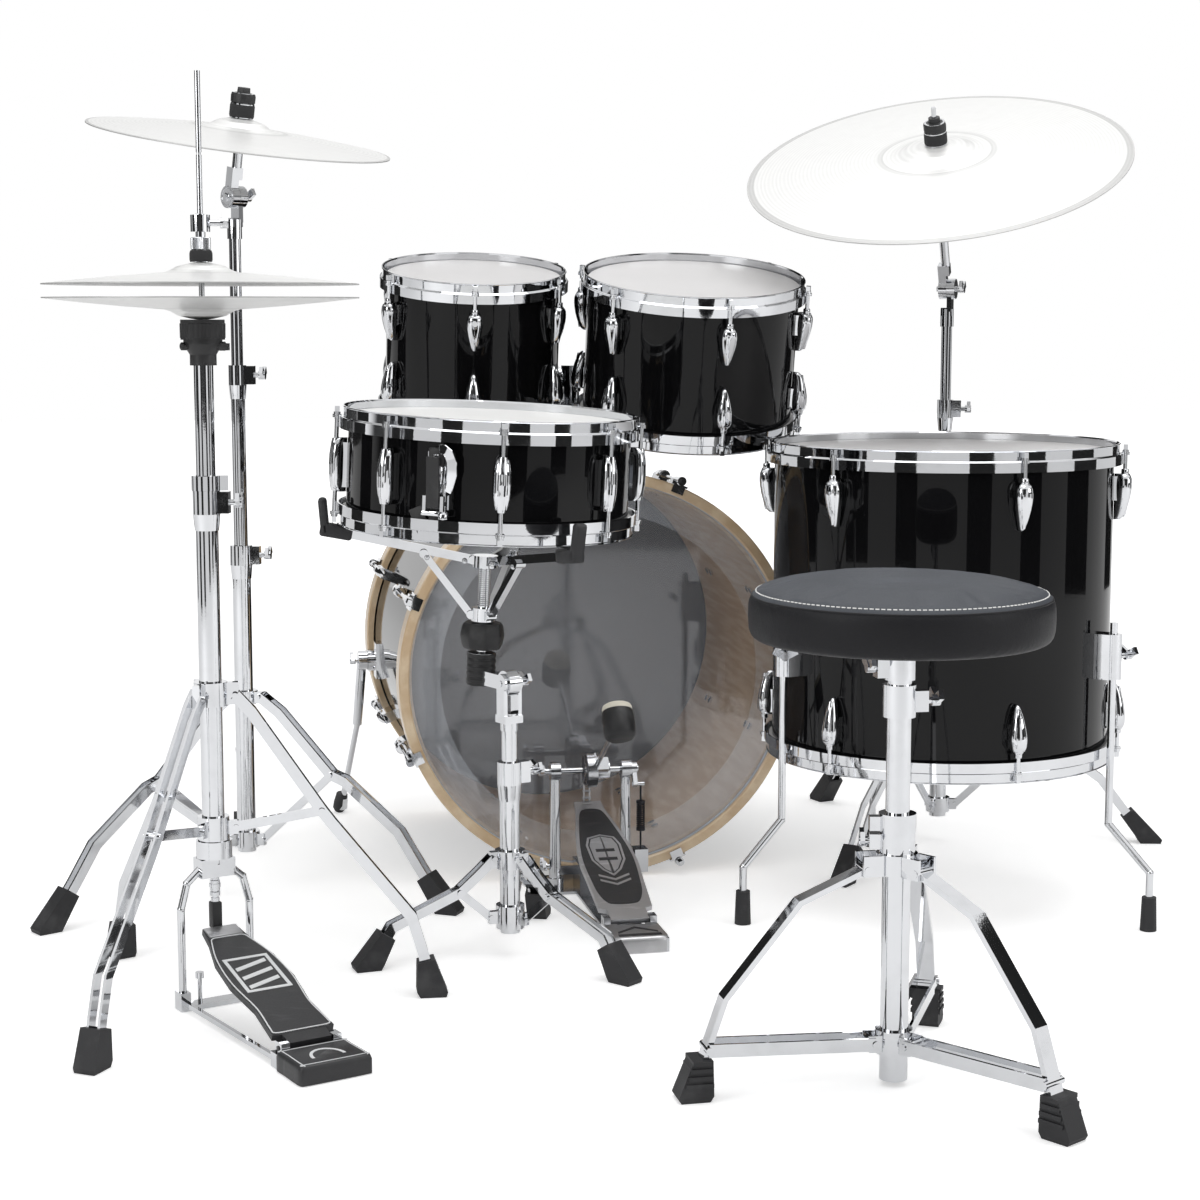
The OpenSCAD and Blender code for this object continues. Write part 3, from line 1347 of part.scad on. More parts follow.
// one flat-bar leg in its radial plane, grown by a clearance
module seat_leg_shape(grow) {
    points = [for (p = seat_leg) p];
    last = len(points) - 1;
    ends = [for (i = [0:last]) points[i] - (i == last ? [0, grow] : [0, 0])];
    bar(ends, seat_leg_t + 2 * grow, seat_leg_w + 2 * grow);
}

module throne_tripod() {
    r = seat_base_d / 2;
    knee = seat_leg[3];
    color(chrome) at_seat() {
        translate([0, 0, 6]) tube(r, 2, seat_base_top - 6);
        ring(r + fit, r + 7, seat_collar_z - 11, seat_collar_z + 11);
        ring(r + fit, r + 5, seat_lower_z - 13, seat_lower_z + 13);
        for (a = seat_leg_angles) rotate(a) {
            seat_leg_shape(0);
            for (s = [-1, 1]) {
                translate([r + 4, s * 12.5 - 2, seat_collar_z - 11]) cube([22, 4, 22]);
                translate([r + 2, s * 10 - 1.5, seat_lower_z - 9]) cube([14, 3, 18]);
                translate([0, s * 11.9, 0]) bar([[r + 9, seat_lower_z], knee], 14, 3.2);
            }
            translate([seat_leg[0][0] + 3, 15, seat_collar_z - 4]) rotate([90, 0, 0]) cylinder(r = 4, h = 30);
            translate([r + 9, 15, seat_lower_z]) rotate([90, 0, 0]) cylinder(r = 4, h = 30);
            translate([knee[0], 15, knee[1]]) rotate([90, 0, 0]) cylinder(r = 4, h = 30);
        }
        // clamp for the post
        difference() {
            union() {
                translate([0, 0, seat_base_top - 8]) cylinder(r = r + 4, h = 22);
                rotate(165) translate([r, -7, seat_base_top - 4]) cube([14, 14, 16]);
                rotate(165) translate([r + 12, 0, seat_base_top + 4]) wing_bolt(5, 30);
            }
            translate([0, 0, seat_base_top - 10]) cylinder(r = r + fit, h = 10);
            translate([0, 0, seat_base_top - 10]) cylinder(r = seat_post_d / 2 + fit, h = 40);
        }
    }
}

seat_clamp_z = seat_top_z - seat_t - 41;
seat_clamp_h = 29;
// Post with its memory lock, its T-handle bracket and the clamp under the seat
module throne_post() {
    r = seat_post_d / 2;
    color(chrome) at_seat() {
        translate([0, 0, 120]) tube(r, 2, seat_clamp_z + seat_clamp_h + 5 - 120);
        difference() {
            union() {
                // memory lock: rests on the base's clamp
                translate([0, 0, seat_base_top + 14 + seat_gap]) cylinder(r = r + 7, h = 20);
                rotate(170) translate([r, -6, seat_base_top + 16]) cube([17, 12, 15]);
                // bracket with its T-handle
                translate([0, 0, seat_clamp_z - 39]) cylinder(r = r + 4.5, h = 34);
                translate([r, -7, seat_clamp_z - 34]) cube([17, 14, 22]);
                translate([r + 15, 0, seat_clamp_z - 23]) wing_bolt(8, 34);
                // seat clamp
                translate([0, 0, seat_clamp_z]) cylinder(r = 16, h = seat_clamp_h);
                rotate(180) translate([r, -8, seat_clamp_z + 3]) cube([14, 16, 22]);
                rotate(180) translate([r + 12, 0, seat_clamp_z + 14]) wing_bolt(4, 34);
            }
            translate([0, 0, 200]) cylinder(r = r + fit, h = 400);
        }
    }
}

module throne_seat() {
    color(black) at_seat() {
        translate([0, 0, seat_top_z - seat_t]) rotate_extrude($fn = 128) {
            square([seat_d / 2 - 8, seat_t - 8]);
            translate([0, 8]) square([seat_d / 2, seat_t - 24]);
            translate([seat_d / 2 - 8, 8]) circle(r = 8);
            translate([0, seat_t - 24]) square([seat_d / 2 - 16, 24]);
            translate([seat_d / 2 - 16, seat_t - 16]) circle(r = 16);
        }
        // steel plate that turns on the clamp
        translate([0, 0, seat_clamp_z + seat_clamp_h + 5 + gap]) cylinder(r = 60, h = 7);
    }
}

bass_shell();
bass_hoops();
bass_batter_head();
bass_front_head();
bass_lugs();
bass_claws();
bass_spur_left();
bass_spur_right();
tom_mount();
tom10_shell();
tom10_hoops();
tom10_heads();
tom10_lugs();
tom12_shell();
tom12_hoops();
tom12_heads();
tom12_lugs();
floor_tom_shell();
floor_tom_hoops();
floor_tom_heads();
floor_tom_lugs();
floor_tom_legs();
snare_shell();
snare_hoops();
snare_heads();
snare_lugs();
snare_lever();
snare_wires();
snare_tripod();
snare_post();
snare_basket();
snare_grips();
hihat_tripod();
hihat_frame();
hihat_upper_tube();
hihat_seat_cup();
hihat_rod();
hihat_clutch();
hihat_top_cymbal();
hihat_bottom_cymbal();
hihat_footboard();
crash_tripod();
crash_mid_tube();
crash_top_tube();
crash_tilter();
crash_cymbal();
ride_tripod();
ride_mid_tube();
ride_top_tube();
ride_tilter();
ride_cymbal();
rubber_feet();
pedal_frame();
pedal_footboard();
pedal_cam();
pedal_beater();
pedal_spring();
throne_tripod();
throne_post();
throne_seat();
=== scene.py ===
"""Dresses an acoustic drum kit with its finishes and its fine pieces, in a plain studio."""

from __future__ import annotations

import json
import logging
import math
from dataclasses import dataclass, field
from enum import Enum
from typing import Callable, Optional, Sequence, Union

import bmesh
import bpy
from mathutils import Matrix, Vector
from mathutils.bvhtree import BVHTree

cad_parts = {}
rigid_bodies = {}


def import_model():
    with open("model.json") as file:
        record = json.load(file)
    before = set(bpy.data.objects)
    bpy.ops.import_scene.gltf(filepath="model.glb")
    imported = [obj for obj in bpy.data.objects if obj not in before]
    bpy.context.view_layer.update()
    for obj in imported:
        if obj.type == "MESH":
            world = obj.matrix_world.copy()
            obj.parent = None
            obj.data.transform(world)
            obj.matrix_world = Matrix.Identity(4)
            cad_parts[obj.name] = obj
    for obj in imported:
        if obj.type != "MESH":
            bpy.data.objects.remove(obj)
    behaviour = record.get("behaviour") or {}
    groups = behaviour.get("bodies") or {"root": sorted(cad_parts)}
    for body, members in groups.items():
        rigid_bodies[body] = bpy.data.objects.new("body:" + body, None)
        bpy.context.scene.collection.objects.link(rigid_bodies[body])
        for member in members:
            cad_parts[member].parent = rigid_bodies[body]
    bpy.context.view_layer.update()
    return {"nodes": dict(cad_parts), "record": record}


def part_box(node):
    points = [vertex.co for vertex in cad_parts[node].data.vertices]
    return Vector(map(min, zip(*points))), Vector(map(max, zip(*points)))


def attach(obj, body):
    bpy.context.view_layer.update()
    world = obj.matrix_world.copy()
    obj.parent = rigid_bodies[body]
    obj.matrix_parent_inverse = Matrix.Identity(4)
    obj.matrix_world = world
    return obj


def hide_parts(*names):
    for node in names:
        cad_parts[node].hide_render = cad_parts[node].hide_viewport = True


LOG = logging.getLogger("drum_kit")

Point = tuple[float, float]
Triple = tuple[float, float, float]
Shape = bmesh.types.BMesh
Socket = bpy.types.NodeSocket


def clear_scene() -> None:
    """Removes the objects that Blender starts with."""
    for item in list(bpy.data.objects):
        bpy.data.objects.remove(item)


clear_scene()
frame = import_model()


# ---------------------------------------------------------------- shader graphs


class Num:
    """A number that flows through a shader graph; its operators add Math nodes."""

    def __init__(self, graph: "Graph", socket: Socket) -> None:
        """Wraps an output socket of the graph."""
        self.graph = graph
        self.socket = socket

    def __add__(self, other: "Numeric") -> "Num":
        """Sum."""
        return self.graph.math("ADD", self, other)

    __radd__ = __add__

    def __sub__(self, other: "Numeric") -> "Num":
        """Difference."""
        return self.graph.math("SUBTRACT", self, other)

    def __rsub__(self, other: "Numeric") -> "Num":
        """Difference, from a plain number."""
        return self.graph.math("SUBTRACT", other, self)

    def __mul__(self, other: "Numeric") -> "Num":
        """Product."""
        return self.graph.math("MULTIPLY", self, other)

    __rmul__ = __mul__

    def __truediv__(self, other: "Numeric") -> "Num":
        """Quotient."""
        return self.graph.math("DIVIDE", self, other)

    def __pow__(self, other: "Numeric") -> "Num":
        """Power."""
        return self.graph.math("POWER", self, other)

    def __gt__(self, other: "Numeric") -> "Num":
        """1 where this is greater, else 0."""
        return self.graph.math("GREATER_THAN", self, other)

    def __lt__(self, other: "Numeric") -> "Num":
        """1 where this is less, else 0."""
        return self.graph.math("LESS_THAN", self, other)

    def smooth(self, low: float, high: float) -> "Num":
        """A soft step from 0 at low to 1 at high."""
        node = self.graph.node(
            "ShaderNodeMapRange",
            {"interpolation_type": "SMOOTHSTEP"},
            {"Value": self, "From Min": low, "From Max": high},
        )
        return Num(self.graph, node.outputs["Result"])


Numeric = Union[Num, float, int]
Linkable = Union[Num, Socket, float, int, tuple]


class Graph:
    """Builds one material's or world's node tree."""

    def __init__(self, tree: bpy.types.NodeTree) -> None:
        """Starts from an empty tree."""
        self.tree = tree
        tree.nodes.clear()

    def node(
        self,
        kind: str,
        settings: Optional[dict[str, object]] = None,
        values: Optional[dict[Union[str, int], Linkable]] = None,
    ) -> bpy.types.Node:
        """Adds any node.

        Args:
            kind: Blender's name of the node type.
            settings: properties that are set first.
            values: what each input gets, by name or number.

        Returns:
            The new node.
        """
        made = self.tree.nodes.new(kind)
        for name, value in (settings or {}).items():
            setattr(made, name, value)
        for key, value in (values or {}).items():
            self.feed(made.inputs[key], value)
        return made

    def feed(self, target: Socket, value: Linkable) -> None:
        """Links a socket, or sets its constant."""
        if isinstance(value, Num):
            self.tree.links.new(value.socket, target)
        elif isinstance(value, Socket):
            self.tree.links.new(value, target)
        elif isinstance(value, tuple) and len(target.default_value) == 4 and len(value) == 3:
            target.default_value = (*value, 1.0)
        else:
            target.default_value = value

    def math(self, operation: str, *values: Numeric) -> Num:
        """One Math node on plain numbers or other results."""
        made = self.node("ShaderNodeMath", {"operation": operation}, dict(enumerate(values)))
        return Num(self, made.outputs[0])

    def coords(self) -> Socket:
        """Object coordinates, which are the row's own metres."""
        return self.node("ShaderNodeTexCoord").outputs["Object"]

    def scaled(self, factors: Triple) -> Socket:
        """Object coordinates stretched along each axis."""
        return self.vector("MULTIPLY", self.coords(), factors).outputs[0]

    def vector(self, operation: str, *values: Linkable) -> bpy.types.Node:
        """One Vector Math node."""
        return self.node("ShaderNodeVectorMath", {"operation": operation}, dict(enumerate(values)))

    def length(self, vector: Socket) -> Num:
        """How long a vector is."""
        return Num(self, self.vector("LENGTH", vector).outputs["Value"])

    def light_path(self, *kinds: str) -> list[Num]:
        """1 for each kind of ray that is asked for, else 0."""
        path = self.node("ShaderNodeLightPath")
        return [Num(self, path.outputs[f"Is {kind} Ray"]) for kind in kinds]

    def parts(self, vector: Socket) -> tuple[Num, Num, Num]:
        """The three components of a vector."""
        made = self.node("ShaderNodeSeparateXYZ", values={0: vector})
        return tuple(Num(self, out) for out in made.outputs)

    def noise(
        self, scale: float, detail: float = 3.0, vector: Optional[Socket] = None
    ) -> Num:
        """Soft noise from 0 to 1."""
        made = self.node(
            "ShaderNodeTexNoise",
            values={"Vector": vector or self.coords(), "Scale": scale, "Detail": detail},
        )
        return Num(self, made.outputs["Fac"])

    def cells(self, scale: float, vector: Optional[Socket] = None) -> Num:
        """Distance to the nearest cell point, for grains and pebbles."""
        made = self.node(
            "ShaderNodeTexVoronoi", values={"Vector": vector or self.coords(), "Scale": scale}
        )
        return Num(self, made.outputs["Distance"])

    def mix(self, factor: Numeric, low: Linkable, high: Linkable) -> Socket:
        """Blends two colours."""
        made = self.node("ShaderNodeMix", {"data_type": "RGBA"})
        self.feed(made.inputs[0], factor)
        self.feed(made.inputs[6], low)
        self.feed(made.inputs[7], high)
        return made.outputs[2]

    def bump(self, height: Num, strength: float, distance: float) -> Socket:
        """A normal that follows a height."""
        made = self.node(
            "ShaderNodeBump", values={"Height": height, "Strength": strength, "Distance": distance}
        )
        return made.outputs["Normal"]

    def principled(self, values: dict[Union[str, int], Linkable]) -> bpy.types.Node:
        """The surface shader, wired to the material's output."""
        made = self.node("ShaderNodeBsdfPrincipled", values=values)
        out = self.node("ShaderNodeOutputMaterial")
        self.tree.links.new(made.outputs[0], out.inputs["Surface"])
        return made


def new_material(name: str) -> tuple[bpy.types.Material, Graph]:
    """An empty material and the graph that fills it."""
    made = bpy.data.materials.new(name)
    made.use_nodes = True
    return made, Graph(made.node_tree)


# ---------------------------------------------------------------- finishes


@dataclass(frozen=True)
class Finish:
    """A named finish; each kind says how its graph is built."""

    name: str
    color: Triple
    roughness: float

    def build(self, graph: Graph) -> None:
        """Fills the graph; each finish has its own."""
        raise NotImplementedError

    def material(self) -> bpy.types.Material:
        """The material, made on first use."""
        found = bpy.data.materials.get(self.name)
        if found is None:
            found, graph = new_material(self.name)
            self.build(graph)
        return found


@dataclass(frozen=True)
class Chrome(Finish):
    """Bright plate with a faint haze where hands and rods touch it."""

    haze: float = 0.05

    def build(self, graph: Graph) -> None:
        """Mirror plate, a little cloudy in patches."""
        cloud = graph.noise(38.0, 4.0).smooth(0.45, 0.75)
        fine = graph.noise(420.0, 2.0)
        graph.principled(
            {
                "Base Color": graph.mix(cloud, self.color, tuple(c * 0.94 for c in self.color)),
                "Metallic": 1.0,
                "Roughness": cloud * self.haze + self.roughness,
                "Normal": graph.bump(fine, 0.02, 0.0004),
            }
        )


@dataclass(frozen=True)
class Lacquer(Finish):
    """Polished lacquer outside and bare ply inside a drum shell."""

    center: Triple = (0.0, 0.0, 0.0)
    axis: Triple = (0.0, 0.0, 1.0)
    inner_radius: float = 0.0

    def build(self, graph: Graph) -> None:
        """Black gloss with orange peel; wood grain below the inner radius."""
        offset = graph.vector("SUBTRACT", graph.coords(), self.center).outputs[0]
        across = graph.vector("CROSS_PRODUCT", offset, self.axis).outputs[0]
        inside = graph.length(across) < self.inner_radius
        grain = graph.noise(14.0, 6.0, graph.scaled((1.0, 1.0, 9.0)))
        ply = graph.mix(grain.smooth(0.35, 0.7), (0.74, 0.55, 0.37), (0.88, 0.72, 0.54))
        peel = graph.noise(160.0, 2.0)
        dust = graph.noise(900.0, 1.0).smooth(0.7, 0.8)
        graph.principled(
            {
                "Base Color": graph.mix(inside, self.color, ply),
                "Roughness": inside * 0.5 + self.roughness + dust * 0.05,
                "Normal": graph.bump(peel, 0.04, 0.0006),
                "Coat Weight": (1.0 - inside) * 0.30,
                "Coat Roughness": 0.015,
                "Specular IOR Level": 0.08,
            }
        )


@dataclass(frozen=True)
class Wood(Finish):
    """Clear-coated maple with rings that run along the hoop."""

    dark: Triple = (0.42, 0.26, 0.14)

    def build(self, graph: Graph) -> None:
        """Fine long grain, pores and a satin coat."""
        stretched = graph.scaled((3.0, 34.0, 3.0))
        grain = graph.noise(9.0, 8.0, stretched)
        pores = graph.noise(60.0, 3.0, graph.scaled((6.0, 70.0, 6.0))).smooth(0.58, 0.68)
        tone = graph.mix(grain.smooth(0.3, 0.72), self.dark, self.color)
        graph.principled(
            {
                "Base Color": graph.mix(pores * 0.35, tone, self.dark),
                "Roughness": grain * 0.12 + self.roughness,
                "Coat Weight": 0.5,
                "Coat Roughness": 0.12,
                "Normal": graph.bump(pores, 0.08, 0.0003),
            }
        )


@dataclass(frozen=True)
class CoatedFilm(Finish):
    """Sprayed, slightly rough white drum head."""

    def build(self, graph: Graph) -> None:
        """Fine sprayed grit on white."""
        grit = graph.cells(1600.0)
        cloud = graph.noise(12.0, 3.0)
        graph.principled(
            {
                "Base Color": graph.mix(
                    cloud.smooth(0.3, 0.7), self.color, tuple(c * 0.97 for c in self.color),
                ),
                "Roughness": grit * 0.2 + self.roughness,
                "Normal": graph.bump(grit, 0.1, 0.0002),
            }
        )


@dataclass(frozen=True)
class ClearFilm(Finish):
    """Transparent head with a milky damping ring near its edge."""

    center: Triple = (0.0, 0.0, 0.0)
    ring_in: float = 0.231
    ring_alpha: float = 0.20
    alpha: float = 0.07
    mirror: float = 0.035

    def build(self, graph: Graph) -> None:
        """Alpha rises over the damping ring; a thin mirror share lies over it all."""
        x, _y, z = graph.parts(graph.coords())
        across = x - self.center[0]
        up = z - self.center[2]
        radius = graph.math("SQRT", across * across + up * up)
        ring = radius.smooth(self.ring_in - 0.001, self.ring_in + 0.001)
        edge = radius.smooth(0.2745, 0.2765)
        smear = graph.noise(9.0, 4.0).smooth(0.5, 0.8)
        alpha = ring * (self.ring_alpha - self.alpha) + smear * 0.015 + edge * 0.5 + self.alpha
        film = graph.node(
            "ShaderNodeBsdfPrincipled",
            values={
                "Base Color": self.color,
                "Roughness": smear * 0.08 + self.roughness,
                "Alpha": graph.math("MINIMUM", alpha, 1.0),
            },
        )
        gloss = graph.node("ShaderNodeBsdfGlossy", values={"Color": (0.95, 0.96, 1.0), "Roughness": 0.045})
        facing = graph.node("ShaderNodeLayerWeight", values={"Blend": 0.12})
        share = Num(graph, facing.outputs["Fresnel"]) * 0.5 + self.mirror
        both = graph.node(
            "ShaderNodeMixShader", values={0: share, 1: film.outputs[0], 2: gloss.outputs[0]}
        )
        out = graph.node("ShaderNodeOutputMaterial")
        graph.tree.links.new(both.outputs[0], out.inputs["Surface"])


@dataclass(frozen=True)
class Bronze(Finish):
    """Lathed and polished cymbal metal with fine tonal grooves, and painted shade at its rim and at the foot
    of its bell.
    """

    center: Triple = (0.0, 0.0, 0.0)
    rim: float = 0.2
    bell: float = 0.045
    groove: float = 1400.0
    band: float = 1100.0

    def build(self, graph: Graph) -> None:
        """Grooves run round the bell; the rim and the foot of the bell are painted darker, a painted shade
        that outlines them.
        """
        radius = graph.length(graph.vector("SUBTRACT", graph.coords(), self.center).outputs[0])
        groove = graph.math("SINE", radius * self.groove)
        hammer = graph.noise(60.0, 2.0)
        # painted shade: the rim is darkened in the colour to outline it
        edge = radius.smooth(self.rim - 0.0045, self.rim - 0.0020)
        # painted shade: a dark ring at the foot of the bell, where the bow turns up into it
        foot = radius.smooth(self.bell - 0.002, self.bell) * (
            1.0 - radius.smooth(self.bell, self.bell + 0.012)
        )
        band = graph.math("SINE", radius * self.band) * 0.5 + 0.5
        # tone holds the painted shade of the rim and the bell's foot, with the lathe bands and the hammer
        # marks
        tone = graph.math("MINIMUM", edge * 0.6 + foot * 0.40 + band * 0.16 + hammer * 0.10, 1.0)
        graph.principled(
            {
                "Base Color": graph.mix(tone, self.color, tuple(c * 0.55 for c in self.color)),
                "Metallic": 0.35,
                "Roughness": hammer * 0.15 + self.roughness,
                "Normal": graph.bump(groove * 0.5 + hammer, 0.12, 0.0004),
            }
        )


@dataclass(frozen=True)
class Moulded(Finish):
    """Rubber or nylon with a fine spark-eroded grain and dusty high spots."""

    grain: float = 1400.0
    depth: float = 0.0003
    dust: float = 0.03

    def build(self, graph: Graph) -> None:
        """Grain in the mould, and a little dust."""
        grit = graph.noise(self.grain, 2.0)
        cloud = graph.noise(30.0, 5.0).smooth(0.5, 0.75)
        dusty = tuple(c + self.dust for c in self.color)
        graph.principled(
            {
                "Base Color": graph.mix(cloud, self.color, dusty),
                "Roughness": grit * 0.15 + cloud * 0.1 + self.roughness,
                "Normal": graph.bump(grit, 0.35, self.depth),
            }
        )


@dataclass(frozen=True)
class CastMetal(Finish):
    """Die-cast or coated metal with a soft pebbled skin."""

    metallic: float = 1.0
    pebble: float = 500.0

    def build(self, graph: Graph) -> None:
        """Pebbles and faint scuffs."""
        pebble = graph.cells(self.pebble)
        scuff = graph.noise(25.0, 6.0, graph.scaled((1.0, 6.0, 1.0))).smooth(0.55, 0.75)
        lighter = tuple(min(1.0, c * 1.25 + 0.01) for c in self.color)
        graph.principled(
            {
                "Base Color": graph.mix(scuff, self.color, lighter),
                "Metallic": self.metallic,
                "Roughness": scuff * -0.08 + pebble * 0.1 + self.roughness,
                "Normal": graph.bump(pebble, 0.15, 0.0003),
            }
        )


@dataclass(frozen=True)
class Vinyl(Finish):
    """Upholstery vinyl with leather grain; its top panel is painted paler than its border, a painted sheen
    where light falls on the seat's top.
    """

    seam: float = 2.0
    # top: the paler colour of the painted sheen on the top panel, above the seam height
    top: Triple = (0.075, 0.082, 0.095)

    def build(self, graph: Graph) -> None:
        """Leather pebbles with fine creases between them; above the seam the colour turns paler, a painted
        sheen.
        """
        _x, _y, height = graph.parts(graph.coords())
        # painted sheen: above the seam the base colour turns to the paler top colour, standing in for light
        # on the seat's top
        panel = height.smooth(self.seam - 0.001, self.seam + 0.001)
        pebble = graph.cells(620.0)
        crease = graph.noise(240.0, 4.0)
        wear_and_sheen_patches = graph.noise(14.0, 4.0).smooth(0.45, 0.75)
        graph.principled(
            {
                # the wear noise also varies the strength of the painted sheen in patches
                "Base Color": graph.mix(panel * (wear_and_sheen_patches * 0.2 + 0.8), self.color, self.top),
                "Roughness": wear_and_sheen_patches * 0.08 + pebble * 0.12 + self.roughness,
                "Normal": graph.bump(pebble * 0.7 + crease * 0.3, 0.35, 0.0005),
                "Specular IOR Level": 0.22,
            }
        )


@dataclass(frozen=True)
class Plain(Finish):
    """Paint, thread or felt: one colour with a fine fibrous grain."""

    fibre: float = 900.0
    lift: float = 0.15

    def build(self, graph: Graph) -> None:
        """Fibres vary the colour and the light."""
        fibre = graph.noise(self.fibre, 3.0)
        graph.principled(
            {
                "Base Color": graph.mix(
                    fibre, self.color, tuple(min(1.0, c * (1 + self.lift)) for c in self.color),
                ),
                "Roughness": fibre * 0.1 + self.roughness,
                "Normal": graph.bump(fibre, 0.3, 0.0003),
            }
        )


CHROME = Chrome("bright_chrome", (0.72, 0.73, 0.75), 0.03)
STEEL = Chrome("ground_steel", (0.66, 0.67, 0.69), 0.16, haze=0.08)
WHITE_FILM = CoatedFilm("coated_white_film", (0.86, 0.86, 0.85), 0.38)
TOM_FILM = CoatedFilm("translucent_film", (0.66, 0.65, 0.65), 0.30)
DARK_FILM = Moulded("smoked_film", (0.085, 0.090, 0.100), 0.22, grain=2600.0, depth=0.000004, dust=0.002)
MAPLE = Wood("clear_maple", (0.80, 0.64, 0.44), 0.3, dark=(0.62, 0.44, 0.26))
RUBBER = Moulded("moulded_rubber", (0.018, 0.018, 0.02), 0.5)
NYLON = Moulded("black_nylon", (0.015, 0.015, 0.016), 0.38, grain=2200.0)
FELT = Plain("black_felt", (0.02, 0.02, 0.021), 0.85, fibre=1500.0, lift=0.8)
BRUSHED = CastMetal("tumbled_aluminium", (0.50, 0.50, 0.51), 0.34, pebble=700.0)
SATIN = Chrome("satin_plate", (0.58, 0.59, 0.61), 0.13, haze=0.08)
CREAM_FELT = Plain("cream_felt", (0.72, 0.68, 0.58), 0.9, fibre=1800.0)
WHITE_THREAD = Plain("white_thread", (0.78, 0.78, 0.76), 0.6)
WHITE_PAINT = Plain("white_paint", (0.74, 0.75, 0.76), 0.35, fibre=300.0, lift=0.05)
SEAT_VINYL = Vinyl("black_vinyl", (0.012, 0.012, 0.014), 0.42)
POWDER_COAT = CastMetal("black_powder_coat", (0.022, 0.022, 0.024), 0.36, metallic=0.0)
DARK_CASTING = CastMetal("dark_casting", (0.11, 0.11, 0.12), 0.33, metallic=0.9)
SPRING_BLACK = CastMetal("spring_black", (0.03, 0.03, 0.033), 0.3, metallic=0.8, pebble=900.0)


GLOSS_BLACK = (0.004, 0.004, 0.0045)
LACQUER_DEPTH = 0.003  # how deep the black reaches into a shell's wall
SKIN = 0.0003  # how far a cast piece stands off the shell that it sits on
LUG_SIDES = 20
Y_AXIS = Vector((0.0, 1.0, 0.0))
Z_AXIS = Vector((0.0, 0.0, 1.0))


class Fill(Enum):
    """How tightly the throne's cushion is stuffed."""

    FOAM = 0.85


# ---------------------------------------------------------------- mesh tools


def smooth_by_angle(mesh: bpy.types.Mesh, degrees: float) -> None:
    """Shades a mesh smooth except over sharp edges."""
    mesh.polygons.foreach_set("use_smooth", [True] * len(mesh.polygons))
    mesh.set_sharp_from_angle(angle=math.radians(degrees))


def mesh_of(name: str, bm: Shape) -> bpy.types.Mesh:
    """A mesh with the bmesh's shape, which is freed."""
    mesh = bpy.data.meshes.new(name)
    bm.to_mesh(mesh)
    bm.free()
    return mesh


def placed(name: str, data: bpy.types.ID) -> bpy.types.Object:
    """A new object in the scene that shows a mesh, lamp or camera."""
    made = bpy.data.objects.new(name, data)
    bpy.context.scene.collection.objects.link(made)
    return made


def add_piece(
    name: str, bm: Shape, finish: Finish, body: str, degrees: float = 40.0
) -> bpy.types.Object:
    """Turns a bmesh into a dressed piece that rides on a body.

    Args:
        name: the piece's name.
        bm: its shape in the row's frame, which is freed here.
        finish: what it is made of.
        body: the CAD body that carries it.
        degrees: edges sharper than this stay sharp.

    Returns:
        The new object.
    """
    bmesh.ops.recalc_face_normals(bm, faces=bm.faces)
    made = placed(name, mesh_of(name, bm))
    smooth_by_angle(made.data, degrees)
    made.data.materials.append(finish.material())
    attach(made, body)
    LOG.info("%s rides on %s", name, body)
    return made


def loft(bm: Shape, rings: Sequence[Sequence[Vector]], matrix: Matrix) -> None:
    """Skins closed rings in order and caps both ends."""
    rows = [[bm.verts.new(matrix @ p) for p in ring] for ring in rings]
    count = len(rows[0])
    for low, high in zip(rows, rows[1:]):
        for i in range(count):
            k = (i + 1) % count
            bm.faces.new((low[i], low[k], high[k], high[i]))
    bm.faces.new(list(reversed(rows[0])))
    bm.faces.new(rows[-1])


def circle(radius: float, z: float, count: int = 32) -> list[Vector]:
    """Points round the Z axis."""
    steps = (2 * math.pi * i / count for i in range(count))
    return [Vector((radius * math.cos(a), radius * math.sin(a), z)) for a in steps]


def turned(
    bm: Shape, profile: Sequence[Point], matrix: Matrix, count: int = 32
) -> None:
    """A lathe-turned solid from (radius, height) points."""
    loft(bm, [circle(max(r, 1e-5), z, count) for r, z in profile], matrix)


def block(
    bm: Shape, size: Triple, matrix: Matrix, bevel: float
) -> None:
    """A box with rounded edges, centred in its matrix."""
    made = bmesh.ops.create_cube(bm, size=1.0, matrix=matrix @ Matrix.Diagonal((*size, 1.0)))
    edges = {e for v in made["verts"] for e in v.link_edges}
    bmesh.ops.bevel(bm, geom=list(edges), offset=bevel, segments=2, affect="EDGES", profile=0.5)


def torus(
    bm: Shape, radius: float, thickness: float, matrix: Matrix, count: int = 96
) -> None:
    """A closed round ring about the matrix's Z axis."""
    sides = 10
    rows = []
    for i in range(count):
        a = 2 * math.pi * i / count
        out = Vector((math.cos(a), math.sin(a), 0.0))
        row = []
        for j in range(sides):
            b = 2 * math.pi * j / sides
            p = out * (radius + thickness * math.cos(b)) + Vector((0, 0, thickness * math.sin(b)))
            row.append(bm.verts.new(matrix @ p))
        rows.append(row)
    for i in range(count):
        low, high = rows[i], rows[(i + 1) % count]
        for j in range(sides):
            k = (j + 1) % sides
            bm.faces.new((low[j], high[j], high[k], low[k]))


def swept(
    bm: Shape, path: Sequence[Vector], radius: Callable[[float], float], sides: int = 8
) -> None:
    """A tube along a path; radius is a function of how far along it is, from 0 to 1."""
    rings = []
    up = Vector((0, 0, 1))
    for i, p in enumerate(path):
        ahead = path[min(i + 1, len(path) - 1)] - path[max(i - 1, 0)]
        side = ahead.cross(up)
        side = side.normalized() if side.length > 1e-9 else Vector((1, 0, 0))
        other = side.cross(ahead).normalized()
        r = radius(i / (len(path) - 1))
        steps = (2 * math.pi * k / sides for k in range(sides))
        rings.append([p + side * (r * math.cos(a)) + other * (r * math.sin(a)) for a in steps])
    loft(bm, rings, Matrix.Identity(4))


